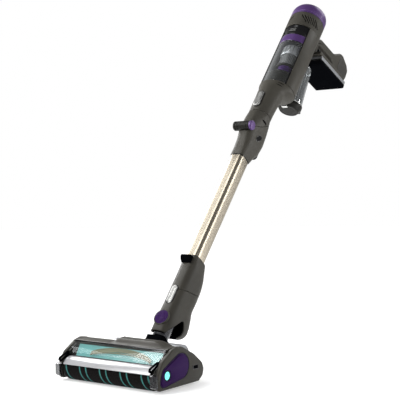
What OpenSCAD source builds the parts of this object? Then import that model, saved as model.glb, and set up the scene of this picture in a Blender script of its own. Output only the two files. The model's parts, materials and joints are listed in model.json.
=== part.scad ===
// Cordless stick vacuum: floor nozzle, neck, wand with a folding joint, and hand unit.
// Origin: on the floor, midway along the nozzle. The nozzle faces -Y, the wand leans to +Y.

/* [Wand] */
// Lean of the wand back from upright, in degrees
lean = 39; // [33:1:44]
// Width of the wand tube
tube_w = 36; // [30:1:40]
// Depth of the wand tube, front to back
tube_d = 41; // [34:1:44]
// Length of tube that shows between the collars
tube_len = 305; // [200:5:400]
// Wall of the wand tube
tube_wall = 1.8; // [1.2:0.1:3]
// Radius of the folding joint's barrel
barrel_r = 12; // [11:0.5:14]
// Length of the folding joint's barrel
barrel_len = 54; // [50:1:66]
// Radius of the folding joint's pin
flex_pin_r = 3; // [2:0.25:4]

/* [Hand unit] */
// Outer radius of the motor housing
housing_r = 49; // [46:0.5:54]
// Length of the clear cyclone window
window_len = 148; // [120:2:180]
// Height of the rear cap
cap_h = 46; // [36:1:56]
// Radius of the dust cup
cup_r = 31; // [26:1:34]
// Length of the dust cup above its lid
cup_len = 122; // [100:1:130]
// Tilt of the dust cup away from the wand, in degrees
cup_tilt = 10; // [4:1:14]
// Radius of the inlet socket and of the neck socket
socket_r = 16; // [14:0.5:18]
// Length of the plugs that enter the sockets
plug_len = 46; // [36:1:56]
// Width of the battery
battery_w = 88; // [70:1:96]
// Thickness of the battery
battery_t = 23; // [20:0.5:28]
// Width of the hand grip
grip_w = 32; // [28:1:38]

/* [Floor nozzle] */
// Width of the nozzle over its side plates
nozzle_w = 268; // [230:2:320]
// Height of the rear housing
nozzle_h = 90; // [86:1:96]
// Radius of the soft roller over its nap
roller_r = 23; // [20:0.5:24]
// Thickness of the soft roller's nap
nap = 5; // [3:0.5:7]
// Radius of the fin brush over its fins
brush_r = 18; // [15:0.5:19]
// Radius of the rear wheels
wheel_r = 14; // [12:0.5:16]
// Radius of the wheel and roller axles
axle_r = 2.5; // [2:0.25:3]
// Radius of the neck's pivot pins
pivot_pin_r = 9.4; // [7:0.2:11]

/* [Fits] */
// Gap between pieces that move on each other
gap = 0.4; // [0.3:0.05:0.6]
// Radial clearance of a running fit
running = 0.08; // [0.05:0.01:0.1]

/* [Hidden] */
$fn = 64;
loft_fn = 32;
skin = 0.5;

// Colours
taupe = "#4d4942";
dark = "#26241f";
black = "#101214";
purple = "#4b2f78";
champagne = "#a89c86";
silver = "#b9bcbf";
teal = "#5fd8d0";

// Floor nozzle, outlines in [y, z]
half_w = nozzle_w / 2;
plate_t = 9;
inner_w = nozzle_w - 2 * plate_t - 0.8;
chamber_w = inner_w - 10;
roller_y = -48;
roller_z = roller_r + 1;
brush_y = -4;
brush_z = brush_r + 8;
strip_back = [-47, 50];
window_top = [-25, 78];
hump_x0 = -34;
hump_x1 = half_w - 18;
light_at = [-39, 32];
light_r = 10;
door_wall = 3;
pivot_y = 70;
pivot_z = 50;
yoke_r = 20;
slot_w = 96;
drum_r = 25;
wheel_x = 84;
wheel_y = 66;
wheel_w = 12;
motor_at = [31, 36];
motor_r = 14;
brush_w = nozzle_w - 52;
pulley_r = 6.5;
belt_t = 1.4;
sole_z = 3;
sole_t = 4;
sole_top = sole_z + sole_t;

// Wand, in its own frame: Z runs up the wand, -Y is its front and its middle is x = y = 0
axis_back = 14;
neck_low = 50;
neck_seam = 166;
seam_tilt = 19;
yoke_post_r = 11;
arch_y = 21;
arch_z = 64;
arch_half = 24;
arch_r = 40;
neck_w = 44;
collar_top = 252;
tube_low = collar_top - 30;
tube_top = collar_top + tube_len;
flex_z = tube_top + 78;
flex_y = -36;
seam_slope = 37;
knuckle_w = 26;
cap_w = 8;
inlet_z = flex_z + 65;
front_y = -26;
neck_y = -23;
window_low = inlet_z + 110;
band_low = window_low + window_len;
bezel_low = band_low + 26;
housing_low = bezel_low + 34;
cap_low = housing_low + 49;
axis_y = 27;
window_r = housing_r - 3;
window_half = 57;
cup_y = axis_y + housing_r + 22;
cup_z = window_low + 22;
lid_h = 20;
lid_r = cup_r + 2;
dial_z = 84;
dial_r = 18.5;
button_r = 8.5;
button_len = 48;
button_z = 144;
wand_button_r = 9;
wand_button_len = 50;
bar_slope = 15.5;
back_y = axis_y + housing_r;
rail_y = back_y + 14;
rail_z = housing_low - 15;
trim_t = 9;
cup_wall = 2.2;
dome_r = 24;
lid_pin_y = lid_r + 4;

// Moves its children into the wand's frame
module on_wand()
    translate([0, pivot_y, pivot_z]) rotate([-lean, 0, 0]) translate([0, axis_back, 0]) children();

// Stands a [y, z] outline up as a plate of width w, centred on x
module across(w, x = 0)
    translate([x - w / 2, 0, 0]) rotate([90, 0, 90]) linear_extrude(w) children();

// Cylinder of radius r and length l along X, centred on x, at [y, z]
module rod(r, l, x = 0, at = [0, 0])
    translate([x - l / 2, at[0], at[1]]) rotate([0, 90, 0]) cylinder(r = r, h = l);

// Cylinder that faces the wand's front: its face is at y, and it runs back by h
module stud(r, h, y, z) translate([0, y + h, z]) rotate([90, 0, 0]) cylinder(r = r, h = h);

// Rectangle w by d with true round corners of radius r
module round_rect(w, d, r) {
    square([w - 2 * r, d], center = true);
    square([w, d - 2 * r], center = true);
    for (sx = [-1, 1], sy = [-1, 1])
        translate([sx * (w / 2 - r), sy * (d / 2 - r)]) circle(r = r);
}

// Bar of rounded rectangle section from z0 to z1, from y0 at the front to y1 at the back
module bar(w, y0, y1, r, z0, z1)
    translate([0, (y0 + y1) / 2, z0]) linear_extrude(z1 - z0) round_rect(w, y1 - y0, r);

// Thin slice of the same section, used as the end of a blended shell
module slice(w, y0, y1, r, z)
    translate([0, (y0 + y1) / 2, z]) linear_extrude(skin)
        round_rect(w, y1 - y0, r, $fn = loft_fn);

// Ring from r0 to r1 and z0 to z1 round the hand unit's axis
module ring(r0, r1, z0, z1)
    translate([0, axis_y, z0]) difference() {
        cylinder(r = r1, h = z1 - z0);
        translate([0, 0, -1]) cylinder(r = r0, h = z1 - z0 + 2);
    }

// Sector that opens to the front of the hand unit by the given half angle
module front_sector(half, z0, z1)
    translate([0, axis_y, z0]) linear_extrude(z1 - z0)
        polygon(concat([[0, 0]], [for (a = [-half : half / 4 : half + 1])
                                      120 * [sin(a), -cos(a)]]));

// Capsule outline: len tall over its ends, r wide at each side, grown by g
module capsule(r, len, g = 0) {
    for (s = [-1, 1]) translate([0, s * (len / 2 - r)]) circle(r = r + g);
    square([2 * (r + g), len - 2 * r], center = true);
}

// Plate of capsule outline that faces the wand's front, from y back by h
module capsule_plate(r, len, h, y, z, g = 0)
    translate([0, y + h, z]) rotate([90, 0, 0]) linear_extrude(h) capsule(r, len, g);

// ---- Floor nozzle ----

module plate_outline()
    polygon([[-66, 4], [-68, 36], [-53, 60], [-20, 80], [-4, 84], [14, 82], [52, 63],
             [80, 42], [86, 28], [82, 14], [68, 4]]);

// Egg-shaped outline of the roller door, grown by g
module door_outline(g = 0) offset(r = g) hull() {
    translate([-49, 21]) circle(r = 11);
    translate([-38, 32]) circle(r = 18);
    translate([7, 44]) circle(r = 26);
}

module side_plates() color(taupe)
    for (side = [-1, 1])
        difference() {
            across(plate_t, side * (half_w - plate_t / 2))
                offset(r = 3) offset(delta = -3) plate_outline();
            if (side > 0) across(10, half_w - door_wall - gap + 5)
                door_outline(gap);
            if (side > 0) across(10, half_w - 2.6 + 5)
                translate([56, 35]) square([21, 9], center = true);
            rod(axle_r, plate_t + 2, side * (half_w - plate_t - 1), [roller_y, roller_z]);
            rod(axle_r, plate_t + 2, side * (half_w - plate_t - 1), [brush_y, brush_z]);
        }

module roller_door() color(purple)
    difference() {
        union() {
            across(door_wall, half_w - door_wall / 2) door_outline();
            across(1.6, half_w + 0.8) door_outline(-3);
        }
        rod(light_r + gap, 20, half_w, light_at);
    }

module status_light() color(teal) {
    rod(light_r, door_wall + gap, half_w - (door_wall + gap) / 2, light_at);
    rod(light_r - 1.4, 1.6, half_w + 0.8, light_at);
}

module roller_latch() color(black)
    across(3, half_w - 1) translate([57, 35]) round_rect(15, 7, 2);

module chassis_outline()
    polygon([[-24, sole_top], [-26, 50], [-22, 62], [6, 66], [40, 56], [74, 40], [78, 26],
             [74, sole_top]]);

module cover_outline()
    polygon([[-27, 78.5], [-24, 81], [8, 83], [52, 66], [80, 45], [85, 30], [79, 27],
             [74, 42], [42, 62], [6, 70], [-19, 66]]);

module nozzle_chassis() color(dark) difference() {
    union() {
        across(chamber_w) chassis_outline();
        for (side = [-1, 1])
            across(4.8, side * (chamber_w / 2 + 2.4)) difference() {
                offset(delta = -3) plate_outline();
                cover_outline();
                window_outline();
                bracket_outline();
            }
    }
    rod(brush_r + 2, chamber_w - 8, 0, [brush_y, brush_z]);
    translate([-chamber_w / 2 + 4, brush_y - brush_r - 2, -1])
        cube([chamber_w - 8, 2 * brush_r + 4, brush_z + 1]);
    rod(roller_r + 2, chamber_w, 0, [roller_y, roller_z]);
    // Bay for the neck, with a saddle under its pivot
    rod(pivot_pin_r + running, slot_w + 20, 0, [pivot_y, pivot_z]);
    rod(yoke_r + gap, slot_w, 0, [pivot_y, pivot_z]);
    translate([-slot_w / 2, pivot_y - 2, 20]) cube([slot_w, 40, 80]);
    translate([-slot_w / 2, 36, pivot_z]) cube([slot_w, 60, 60]);
    // Air way from the brush to the pivot, and the motor's bay
    translate([0, brush_y, 44]) rotate([-90, 0, 0]) cylinder(r = 12, h = 60);
    rod(motor_r + 1, 60, half_w - 54, motor_at);
    translate([half_w - 25, -14, 18]) cube([9, 66, 34]);
    for (side = [-1, 1]) {
        rod(wheel_r + 2, wheel_w + 3, side * wheel_x, [wheel_y, wheel_r]);
        rod(axle_r, wheel_w + 20, side * wheel_x, [wheel_y, wheel_r]);
        rod(drum_r, 40, side * (slot_w / 2 + 22), [pivot_y, pivot_z]);
        rod(axle_r, 40, side * (half_w - plate_t - 9), [roller_y, roller_z]);
        rod(axle_r, 40, side * (half_w - plate_t - 9), [brush_y, brush_z]);
    }
}

// Rear housing over the chassis, with a raised hump beside the neck
module nozzle_top_cover() color(taupe) difference() {
    union() {
        across(inner_w) cover_outline();
        hull() {
            translate([(hump_x0 + hump_x1) / 2, 6, 74]) linear_extrude(1)
                round_rect(hump_x1 - hump_x0, 58, 8, $fn = loft_fn);
            translate([(hump_x0 + hump_x1) / 2 + 6, 12, nozzle_h - 1]) linear_extrude(1)
                round_rect(hump_x1 - hump_x0 - 44, 28, 8, $fn = loft_fn);
        }
    }
    translate([hump_x0 + 14, -14, 60]) cube([hump_x1 - hump_x0 - 28, 34, 21]);
    translate([-slot_w / 2, 32, 20]) cube([slot_w, 90, 100]);
    rod(pivot_pin_r + running, slot_w + 20, 0, [pivot_y, pivot_z]);
    for (side = [-1, 1]) {
        rod(wheel_r + 2, wheel_w + 3, side * wheel_x, [wheel_y, wheel_r]);
        rod(drum_r + 0.2, 40, side * (slot_w / 2 + 22), [pivot_y, pivot_z]);
    }
}

module window_outline()
    polygon([strip_back, window_top + [-3, 1], window_top + [-1.4, -1.8], strip_back + [2.6, -1]]);

module nozzle_window() color(silver, 0.5) across(inner_w) window_outline();

module front_strip() color(silver)
    translate([0, roller_y, roller_z]) across(inner_w - 16) intersection() {
        difference() {
            circle(r = roller_r + 3.7);
            circle(r = roller_r + 1.5);
        }
        polygon(concat([[0, 0]], [for (a = [93 : 15 : 153]) 40 * [cos(a), sin(a)]]));
    }

// Arched rib behind the window that turns the air down to the rollers
module air_deflector() color("#5c6450") intersection() {
    across(inner_w - 20) polygon([[-42, 48.6], [-38, 48.6], [-24.2, 55.5], [-22.8, 59.7], [-28, 67.5]]);
    translate([10, 0, 10]) rotate([90, 0, 0]) translate([0, 0, -40]) cylinder(r = 80, h = 120);
    translate([-62, -60, 40]) cube([140, 60, 40]);
}

module sole_plate() color(black) difference() {
    translate([0, 47, sole_z]) linear_extrude(sole_t) round_rect(inner_w - 8, 50, 6);
    for (side = [-1, 1])
        rod(wheel_r + 2, wheel_w + 3, side * wheel_x, [wheel_y, wheel_r]);
}

module end_bumpers() color(silver, 0.6)
    for (side = [-1, 1])
        difference() {
            across(13, side * (half_w - 7))
                polygon([[-77, 14], [-77.4, 36], [-71, 38], [-68.6, 36], [-66.8, 12], [-72, 10]]);
            rod(roller_r + 1.4, 40, side * (half_w - plate_t - 20), [roller_y, roller_z]);
        }

module bracket_outline()
    polygon([[-80, 43], [-78, 52], [-52, 63], [-47, 60], [-49, 51], [-73, 38.6]]);

module front_brackets() color(black)
    for (side = [-1, 1])
        across(6, side * (half_w - plate_t - 4)) difference() {
            bracket_outline();
            polygon([[-75.5, 44], [-74.5, 49], [-55, 57.5], [-54, 54.5]]);
        }

module roller_core() color(dark) difference() {
    union() {
        rod(roller_r - nap, chamber_w - 2, 0, [roller_y, roller_z]);
        for (side = [-1, 1])
            rod(roller_r - 2, 3, side * (chamber_w / 2 - 2.5), [roller_y, roller_z]);
    }
    rod(axle_r + running, chamber_w + 10, 0, [roller_y, roller_z]);
}

module roller_nap() color(black) difference() {
    rod(roller_r, chamber_w - 8.2, 0, [roller_y, roller_z]);
    rod(roller_r - nap, chamber_w, 0, [roller_y, roller_z]);
}

module fin_brush() color("#5b4a86") translate([0, brush_y, brush_z]) difference() {
    union() {
        rod(brush_r - 6, brush_w);
        rod(pulley_r, 9.4, brush_w / 2 + 4.7 - skin);
        for (a = [0 : 60 : 300]) rotate([a, 0, 0])
            translate([-brush_w / 2 + 4, -1, brush_r - 7]) cube([brush_w - 8, 2, 6.9]);
    }
    rod(axle_r + running, chamber_w + 10);
}

module brush_motor() color(silver) {
    rod(motor_r, 52, half_w - 54, motor_at);
    rod(2, 12, half_w - 23, motor_at);
}

module drive_belt() color(black)
    across(6, half_w - 20.5) difference() {
        hull() {
            translate([brush_y, brush_z]) circle(r = pulley_r + running + belt_t);
            translate(motor_at) circle(r = 2 + belt_t);
        }
        hull() {
            translate([brush_y, brush_z]) circle(r = pulley_r + running);
            translate(motor_at) circle(r = 2);
        }
    }

module wheel(side) color(black) difference() {
    union() {
        rod(wheel_r - 1, wheel_w, side * wheel_x, [wheel_y, wheel_r]);
        rod(wheel_r, wheel_w - 3, side * wheel_x, [wheel_y, wheel_r]);
    }
    rod(axle_r + running, wheel_w + 4, side * wheel_x, [wheel_y, wheel_r]);
}

module wheel_left() wheel(-1);
module wheel_right() wheel(1);

module axles() color(silver)
    for (side = [-1, 1]) {
        rod(axle_r, wheel_w + 18, side * wheel_x, [wheel_y, wheel_r]);
        rod(axle_r, 24, side * (half_w - plate_t - 10), [roller_y, roller_z]);
        rod(axle_r, 30, side * (half_w - plate_t - 13), [brush_y, brush_z]);
    }

// Round covers over the ends of the neck's pivot
module pivot_drums() color(silver)
    for (side = [-1, 1]) difference() {
        rod(drum_r, 40, side * (slot_w / 2 + 22), [pivot_y, pivot_z]);
        rod(pivot_pin_r, 30, side * slot_w / 2, [pivot_y, pivot_z]);
        rod(wheel_r + 2, wheel_w + 3, side * wheel_x, [wheel_y, wheel_r]);
    }

module yoke_pins() color(silver)
    for (side = [-1, 1])
        rod(pivot_pin_r, 26, side * (slot_w / 2 + 1), [pivot_y, pivot_z]);

// ---- Neck ----

module neck_yoke() color(black) difference() {
    union() {
        rod(yoke_r, slot_w - 2 * gap, 0, [pivot_y, pivot_z]);
        on_wand() {
            cylinder(r = 15, h = 98);
            translate([0, 0, 97]) cylinder(r = yoke_post_r, h = 61);
            bar(44, -22, 12, 6, 6, 40);
        }
    }
    for (side = [-1, 1])
        rod(pivot_pin_r + running, 26, side * (slot_w / 2 + 1), [pivot_y, pivot_z]);
    on_wand() translate([0, 0, 26]) cylinder(r = 8, h = 140);
}

module neck_hose() color(dark) on_wand() difference() {
    for (i = [0 : 7])
        translate([0, 0, 46 + 6 * i]) cylinder(r = i % 2 == 0 ? 19 : 17, h = 6);
    translate([0, 0, 40]) cylinder(r = 15, h = 70);
}

// Shell round the yoke. Its top end is a plug for the collar, and the yoke's post turns in it.
module neck_shell() color(taupe) on_wand() difference() {
    union() {
        difference() {
            union() {
                hull() {
                    slice(38, neck_y, -2, 8, neck_low + 2);
                    slice(neck_w + 4, neck_y - 1, 44, 18, 70);
                    slice(neck_w + 4, neck_y - 1, 64, 18, 84);
                    slice(neck_w + 2, neck_y - 1, 64, 18, 104);
                }
                hull() {
                    slice(neck_w + 2, neck_y - 1, 64, 18, 103);
                    slice(neck_w, neck_y, 52, 18, 136);
                }
                hull() {
                    slice(neck_w, neck_y, 52, 18, 135);
                    slice(neck_w, neck_y, 52, 18, neck_seam + 22);
                }
            }
            // Slanted seam with the collar
            translate([0, 0, neck_seam]) rotate([seam_tilt, 0, 0]) translate([-60, -80, 0])
                cube([120, 160, 60]);
        }
        translate([0, 0, 120]) cylinder(r = socket_r - gap, h = neck_seam + plug_len - 120);
    }
    // Room for the yoke, and the bore that its post turns in
    translate([0, 0, 30]) cylinder(r = 20.6, h = 82);
    translate([0, 0, 100]) cylinder(r = yoke_post_r + running, h = 200);
    // Pointed arches at the sides
    across(neck_w + 20) translate([arch_y, arch_z]) {
        intersection_for(side = [-1, 1]) translate([side * (arch_r - arch_half), 0])
            circle(r = arch_r);
        translate([-arch_half, -50]) square([2 * arch_half, 50]);
    }
    stud(dial_r + gap, 8, neck_y - 4.5, dial_z);
    capsule_plate(button_r, button_len, 10, neck_y - 4.5, button_z, gap);
}

module scent_dial() color(purple) on_wand() {
    stud(dial_r, 4, neck_y - 1, dial_z);
    stud(dial_r - 3, 2, neck_y - 2.4, dial_z);
}

module neck_button() color(silver) on_wand()
    capsule_plate(button_r, button_len, 6, neck_y - 2.6, button_z);

// ---- Wand ----

// Collar between the neck and the tube
module wand_collar() color(taupe) on_wand() difference() {
    union() {
        hull() {
            slice(neck_w, neck_y, 52, 18, neck_seam - 22);
            slice(neck_w, neck_y, 49, 18, 204);
        }
        hull() {
            slice(neck_w, neck_y, 49, 18, 203);
            slice(neck_w, neck_y - 0.5, 38, 16, 234);
        }
        hull() {
            slice(neck_w, neck_y - 0.5, 38, 16, 233);
            slice(tube_w + 6, -tube_d / 2 - 3, tube_d / 2 + 4, 10, collar_top);
        }
    }
    translate([0, 0, neck_seam + gap]) rotate([seam_tilt, 0, 0]) translate([-60, -80, -100])
        cube([120, 160, 100]);
    translate([0, 0, 100]) cylinder(r = socket_r, h = neck_seam + plug_len + 1 - 100);
    translate([0, 0, 190]) cylinder(r = 13, h = 40);
    bar(tube_w, -tube_d / 2, tube_d / 2, 8, tube_low, collar_top + 10);
    capsule_plate(button_r, button_len, 16, neck_y - 6, button_z, 1);
}

module collar_hook() color(black) on_wand() difference() {
    across(27) polygon([[-23.5, 247], [-36, 244], [-37, 239], [-31, 232], [-23.5, 228]]);
    across(19) polygon([[-23, 240], [-31.5, 239.5], [-28.5, 234.5], [-23, 233]]);
}

module wand_tube() color(champagne) on_wand() difference() {
    bar(tube_w, -tube_d / 2, tube_d / 2, 8, tube_low, tube_top + 26);
    bar(tube_w - 2 * tube_wall, -tube_d / 2 + tube_wall, tube_d / 2 - tube_wall,
        8 - tube_wall, tube_low - 1, tube_top + 40);
}

// Half space above the folding joint's seam, which runs through the pin, moved up by lift
module above_seam(lift = 0)
    translate([0, flex_y, flex_z]) rotate([seam_slope, 0, 0])
        translate([-60, -100, lift]) cube([120, 260, 260]);

// Both ends of the barrel beyond the middle knuckle, with radius r
module outer_knuckles(r, l)
    for (side = [-1, 1]) rod(r, l, side * (knuckle_w / 2 + gap + l / 2), [flex_y, flex_z]);

module flex_lower_shell() color(taupe) on_wand() difference() {
    union() {
        difference() {
            union() {
                hull() {
                    slice(tube_w + 3, -tube_d / 2 - 1.5, tube_d / 2 + 1.5, 9, tube_top);
                    slice(tube_w + 7, -27, 43, 14, tube_top + 44);
                }
                hull() {
                    slice(tube_w + 7, -27, 43, 14, tube_top + 43);
                    slice(tube_w + 8, -34, 48, 14, flex_z - 2);
                    slice(tube_w + 8, -33, 43, 14, flex_z + 50);
                }
            }
            above_seam(-gap / 2);
            outer_knuckles(barrel_r + gap, 30);
        }
        rod(barrel_r, knuckle_w, 0, [flex_y, flex_z]);
    }
    bar(tube_w, -tube_d / 2, tube_d / 2, 8, tube_top - 1, tube_top + 26);
    translate([0, 6, tube_top]) cylinder(r = 16, h = 200);
    rod(flex_pin_r, knuckle_w + 2, 0, [flex_y, flex_z]);
    // Side windows that show the bellows, and the release button's hole at the back
    for (side = [-1, 1])
        translate([side * (tube_w / 2 + 4), 6, flex_z + 4]) rotate([-seam_slope, 0, 0])
            rotate([90, 0, 90]) translate([0, 0, -9]) linear_extrude(18) capsule(6.5, 28);
    translate([0, 60, tube_top + 52]) rotate([90, 0, 0])
        linear_extrude(22) capsule(8, 26, gap);
}

module flex_upper_shell() color(taupe) on_wand() difference() {
    union() {
        intersection() {
            hull() {
                slice(tube_w + 8, -34, 48, 14, flex_z - 20);
                slice(tube_w + 8, -33, 47, 14, flex_z + 12);
                translate([0, 4, inlet_z - gap - skin])
                    cylinder(r = 30, h = skin, $fn = loft_fn);
            }
            above_seam(gap / 2);
        }
        outer_knuckles(barrel_r, (barrel_len - 2 * cap_w - knuckle_w) / 2 - gap);
    }
    rod(barrel_r + gap, knuckle_w + 2 * gap, 0, [flex_y, flex_z]);
    rod(flex_pin_r + running, barrel_len, 0, [flex_y, flex_z]);
    translate([0, 6, flex_z - 60]) cylinder(r = 16, h = 102);
    translate([0, 0, flex_z + 41]) cylinder(r = socket_r - 3, h = 60);
}

module flex_pin() color(silver) on_wand()
    rod(flex_pin_r, barrel_len - 8, 0, [flex_y, flex_z]);

module flex_caps() color(purple) on_wand()
    for (side = [-1, 1]) difference() {
        rod(barrel_r, cap_w, side * (barrel_len - cap_w) / 2, [flex_y, flex_z]);
        rod(flex_pin_r + running, barrel_len - 6, 0, [flex_y, flex_z]);
    }

module flex_button() color(dark) on_wand()
    translate([0, 50, tube_top + 52]) rotate([90, 0, 0]) linear_extrude(8) capsule(8, 26);

module flex_bellows() color(black) on_wand() difference() {
    for (i = [0 : 5])
        translate([0, 6, tube_top + 28 + 8 * i])
            cylinder(r = i % 2 == 0 ? 15.5 : 13.5, h = 8);
    translate([0, 6, tube_top]) cylinder(r = 11, h = 200);
    above_seam(-2);
}

// Plug at the top of the wand that enters the hand unit's socket
module wand_plug() color(black) on_wand() difference() {
    translate([0, 0, inlet_z - gap]) cylinder(r = socket_r - gap, h = plug_len + gap);
    translate([0, 0, inlet_z - 1]) cylinder(r = socket_r - 3, h = plug_len + 2);
}

// ---- Hand unit ----

module inlet_shell() color(taupe) on_wand() difference() {
    union() {
        hull() {
            translate([0, 4, inlet_z]) cylinder(r = 30, h = skin, $fn = loft_fn);
            translate([0, 13, window_low - 14]) cylinder(r = 37, h = skin, $fn = loft_fn);
        }
        hull() {
            translate([0, 13, window_low - 15]) cylinder(r = 37, h = skin, $fn = loft_fn);
            translate([0, axis_y, window_low - 7]) cylinder(r = housing_r, h = 7);
        }
        bar(18, 28, 43, 4, inlet_z + 30, inlet_z + 66);
    }
    translate([0, 0, inlet_z - 1]) cylinder(r = socket_r, h = plug_len + 3);
    translate([0, 0, inlet_z]) cylinder(r = socket_r - 3, h = 200);
    capsule_plate(wand_button_r, wand_button_len, 12, front_y - 7, inlet_z + 36, gap);
    cup_space();
}

// Room for the dust cup and, below it, for its lid
module cup_space() cup_frame() {
    cylinder(r = cup_r + gap, h = cup_len + gap);
    translate([0, 0, -90]) cylinder(r = lid_r + gap, h = 90 + gap);
}

module wand_button() color(silver) on_wand()
    capsule_plate(wand_button_r, wand_button_len, 6.6, front_y - 5.5, inlet_z + 36);

module cyclone_window() color(silver, 0.5) on_wand() difference() {
    ring(window_r - 2.4, window_r, window_low, band_low);
    cup_space();
}

module cyclone_base() color(dark) on_wand() difference() {
    ring(socket_r - 3, window_r - 3, window_low, window_low + 46);
    cup_space();
}

module cyclone_shroud() color("#8d8f92") on_wand() difference() {
    union() {
        ring(24, 27, window_low + 80, window_low + 116);
        ring(22, 30, window_low + 116, bezel_low + 4);
        translate([0, axis_y, window_low + 46.2]) difference() {
            cylinder(r1 = 17, r2 = 25, h = 33.8);
            translate([0, 0, -1]) cylinder(r = 12, h = 60);
        }
    }
    cup_space();
}

// Shell that wraps the sides and back of the cyclone
module body_cradle() color(taupe) on_wand() difference() {
    ring(window_r + 0.4, housing_r, window_low, housing_low);
    front_sector(window_half, window_low - 1, housing_low + 1);
    cup_space();
}

module purple_band() color(purple) on_wand() ring(window_r - 5, window_r + 0.2, band_low, bezel_low);

module control_bezel() color(black) on_wand()
    ring(window_r - 4, window_r + 0.2, bezel_low, housing_low);

module motor_housing() color(taupe) on_wand() difference() {
    ring(window_r, housing_r, housing_low, cap_low);
    for (side = [-1, 1], i = [0 : 4])
        translate([0, axis_y, (housing_low + cap_low) / 2]) rotate([0, 0, side * (32 + 9 * i)])
            translate([0, -housing_r, 0]) rotate([0, side * -38, 0])
                cube([2.6, 14, 40], center = true);
}

module suction_motor() color(silver) on_wand() {
    ring(4, 32, bezel_low + 4, cap_low - 12);
    ring(31, window_r - 4, bezel_low + 10, bezel_low + 14);
}

module suction_fan() color(dark) on_wand() translate([0, axis_y, cap_low - 11]) {
    cylinder(r = 12, h = 8);
    for (a = [0 : 40 : 320]) rotate([0, 0, a]) translate([10, -1, 0]) cube([24, 2, 8]);
    translate([0, 0, -20]) cylinder(r = 4 - running, h = 22);
}

module rear_filter() color("#c9c7c0") on_wand() {
    ring(20, 40, cap_low - skin, cap_low + cap_h - dome_r - 2);
    ring(38, window_r, cap_low - 6, cap_low);
}

// Domed cap, one side of its section turned round the hand unit's axis
module rear_cap() color(purple) on_wand()
    translate([0, axis_y, cap_low + gap]) rotate_extrude($fn = 96) difference() {
        union() {
            square([housing_r - dome_r, cap_h - gap]);
            square([housing_r, cap_h - dome_r - gap]);
            translate([housing_r - dome_r, cap_h - dome_r - gap]) intersection() {
                circle(r = dome_r);
                square(dome_r);
            }
        }
        translate([-1, -1]) square([housing_r - 3 + 1, cap_h - dome_r]);
        translate([-1, -1]) square([housing_r - dome_r + 1, cap_h - 4]);
    }

// Grip, foot and battery rail in one side outline, from the back of the housing's foot
module handle_outline() difference() {
    offset(r = 4) offset(delta = -4) polygon([
        [-14, -18], [-14, 46], [4, 48], [20, 61], [94, 82], [104, 90], [127, 115],
        [140, 119], [173, 113], [188, 102], [191, 72], [164, 38], [156, 34],
        [156, 24 + gap], [6, -17 + gap], [-2, -20]]);
    offset(r = 6) offset(delta = -6) polygon([
        [12, 5], [12, 32], [24, 38], [90, 57], [106, 52], [100, 29]]);
}

// Places its children on the battery's rail, with Y along the rail
module on_rail() translate([0, rail_y, rail_z]) rotate([bar_slope, 0, 0]) children();

module handle_shell() color(taupe) on_wand() difference() {
    union() {
        translate([0, back_y, housing_low]) across(grip_w) handle_outline();
        on_rail() translate([-battery_w / 2, -12, gap]) cube([battery_w, 152, 9]);
        translate([0, back_y, housing_low]) across(44)
            polygon([[-10, -16], [-10, 32], [6, 32], [12, 4], [8, -14]]);
    }
    translate([0, axis_y, window_low]) cylinder(r = housing_r, h = cap_low - window_low);
    ring(0, housing_r + gap, cap_low, cap_low + 100);
    grip_frame(36) translate([-9, -13, -9]) cube([18, 26, 10]);
    grip_frame(22) translate([0, 0, 20]) cylinder(r = 7 + gap, h = 14);
}

// Frame on the inner face of the grip, at distance d behind the housing, Z pointing out of the top
module grip_frame(d)
    translate([0, back_y + d, housing_low + 28.6 + d * 0.28]) rotate([bar_slope, 0, 0]) children();

module trigger() color(black) on_wand() grip_frame(36)
    translate([-9 + gap, -13 + gap, -9]) cube([18 - 2 * gap, 26 - 2 * gap, 6]);

module power_button() color(black) on_wand() grip_frame(22)
    translate([0, 0, 22]) cylinder(r = 7, h = 6);

// The dust cup's own axis, from the underside of its wall up
module cup_frame() translate([0, cup_y, cup_z]) rotate([cup_tilt, 0, 0]) children();

module battery() color(black) on_wand() on_rail() difference() {
    across(battery_w) polygon([[-4, -trim_t], [146, -trim_t], [146, -battery_t + 4],
                               [142, -battery_t], [6, -battery_t], [-4, -battery_t + 10]]);
    translate([0, 126, -battery_t - 1]) linear_extrude(6) round_rect(34, 14, 6.9);
}

module battery_trim() color(silver) on_wand() on_rail()
    translate([-battery_w / 2 - 0.5, -2, -trim_t]) cube([battery_w + 1, 148, trim_t]);

module battery_button() color(dark) on_wand() on_rail()
    translate([0, 126, -battery_t]) linear_extrude(3) round_rect(33, 13, 6.4);

module dust_cup() color(silver, 0.5) on_wand() cup_frame() difference() {
    cylinder(r = cup_r, h = cup_len);
    translate([0, 0, -1]) cylinder(r = cup_r - cup_wall, h = cup_len + 1 - cup_wall);
}

// Dark rib up the back of the cup, with the lid's hinge at its foot
module cup_spine() color(dark) on_wand() cup_frame() {
    difference() {
        translate([-8, cup_r - 4, 3]) cube([16, 9.6, cup_len - 22]);
        translate([0, 0, -1]) cylinder(r = cup_r, h = cup_len + 2);
    }
    for (side = [-1, 1]) {
        rod(4, 5, side * 8.6, [lid_pin_y, -2]);
        translate([side * 8.6 - 2.5, cup_r + 1, 0]) cube([5, lid_pin_y - cup_r - 1, 7]);
    }
    rod(1.6, 20, 0, [lid_pin_y, -2]);
}

module cup_lid() color(dark) on_wand() cup_frame() difference() {
    union() {
        translate([0, 0, -8 - gap]) cylinder(r = lid_r, h = 8);
        translate([0, 0, -lid_h]) cylinder(r1 = lid_r - 7, r2 = lid_r, h = lid_h - 8 - gap);
        rod(4, 10, 0, [lid_pin_y, -2]);
        translate([-5, cup_r - 2, -8]) cube([10, 8, 7]);
    }
    rod(1.6 + running, 30, 0, [lid_pin_y, -2]);
    translate([0, 0, -6]) cylinder(r = cup_r - 2, h = 10);
    translate([-8 - gap, -cup_r + 4, -lid_h - 3]) cube([16 + 2 * gap, 14, 7]);
}

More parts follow.
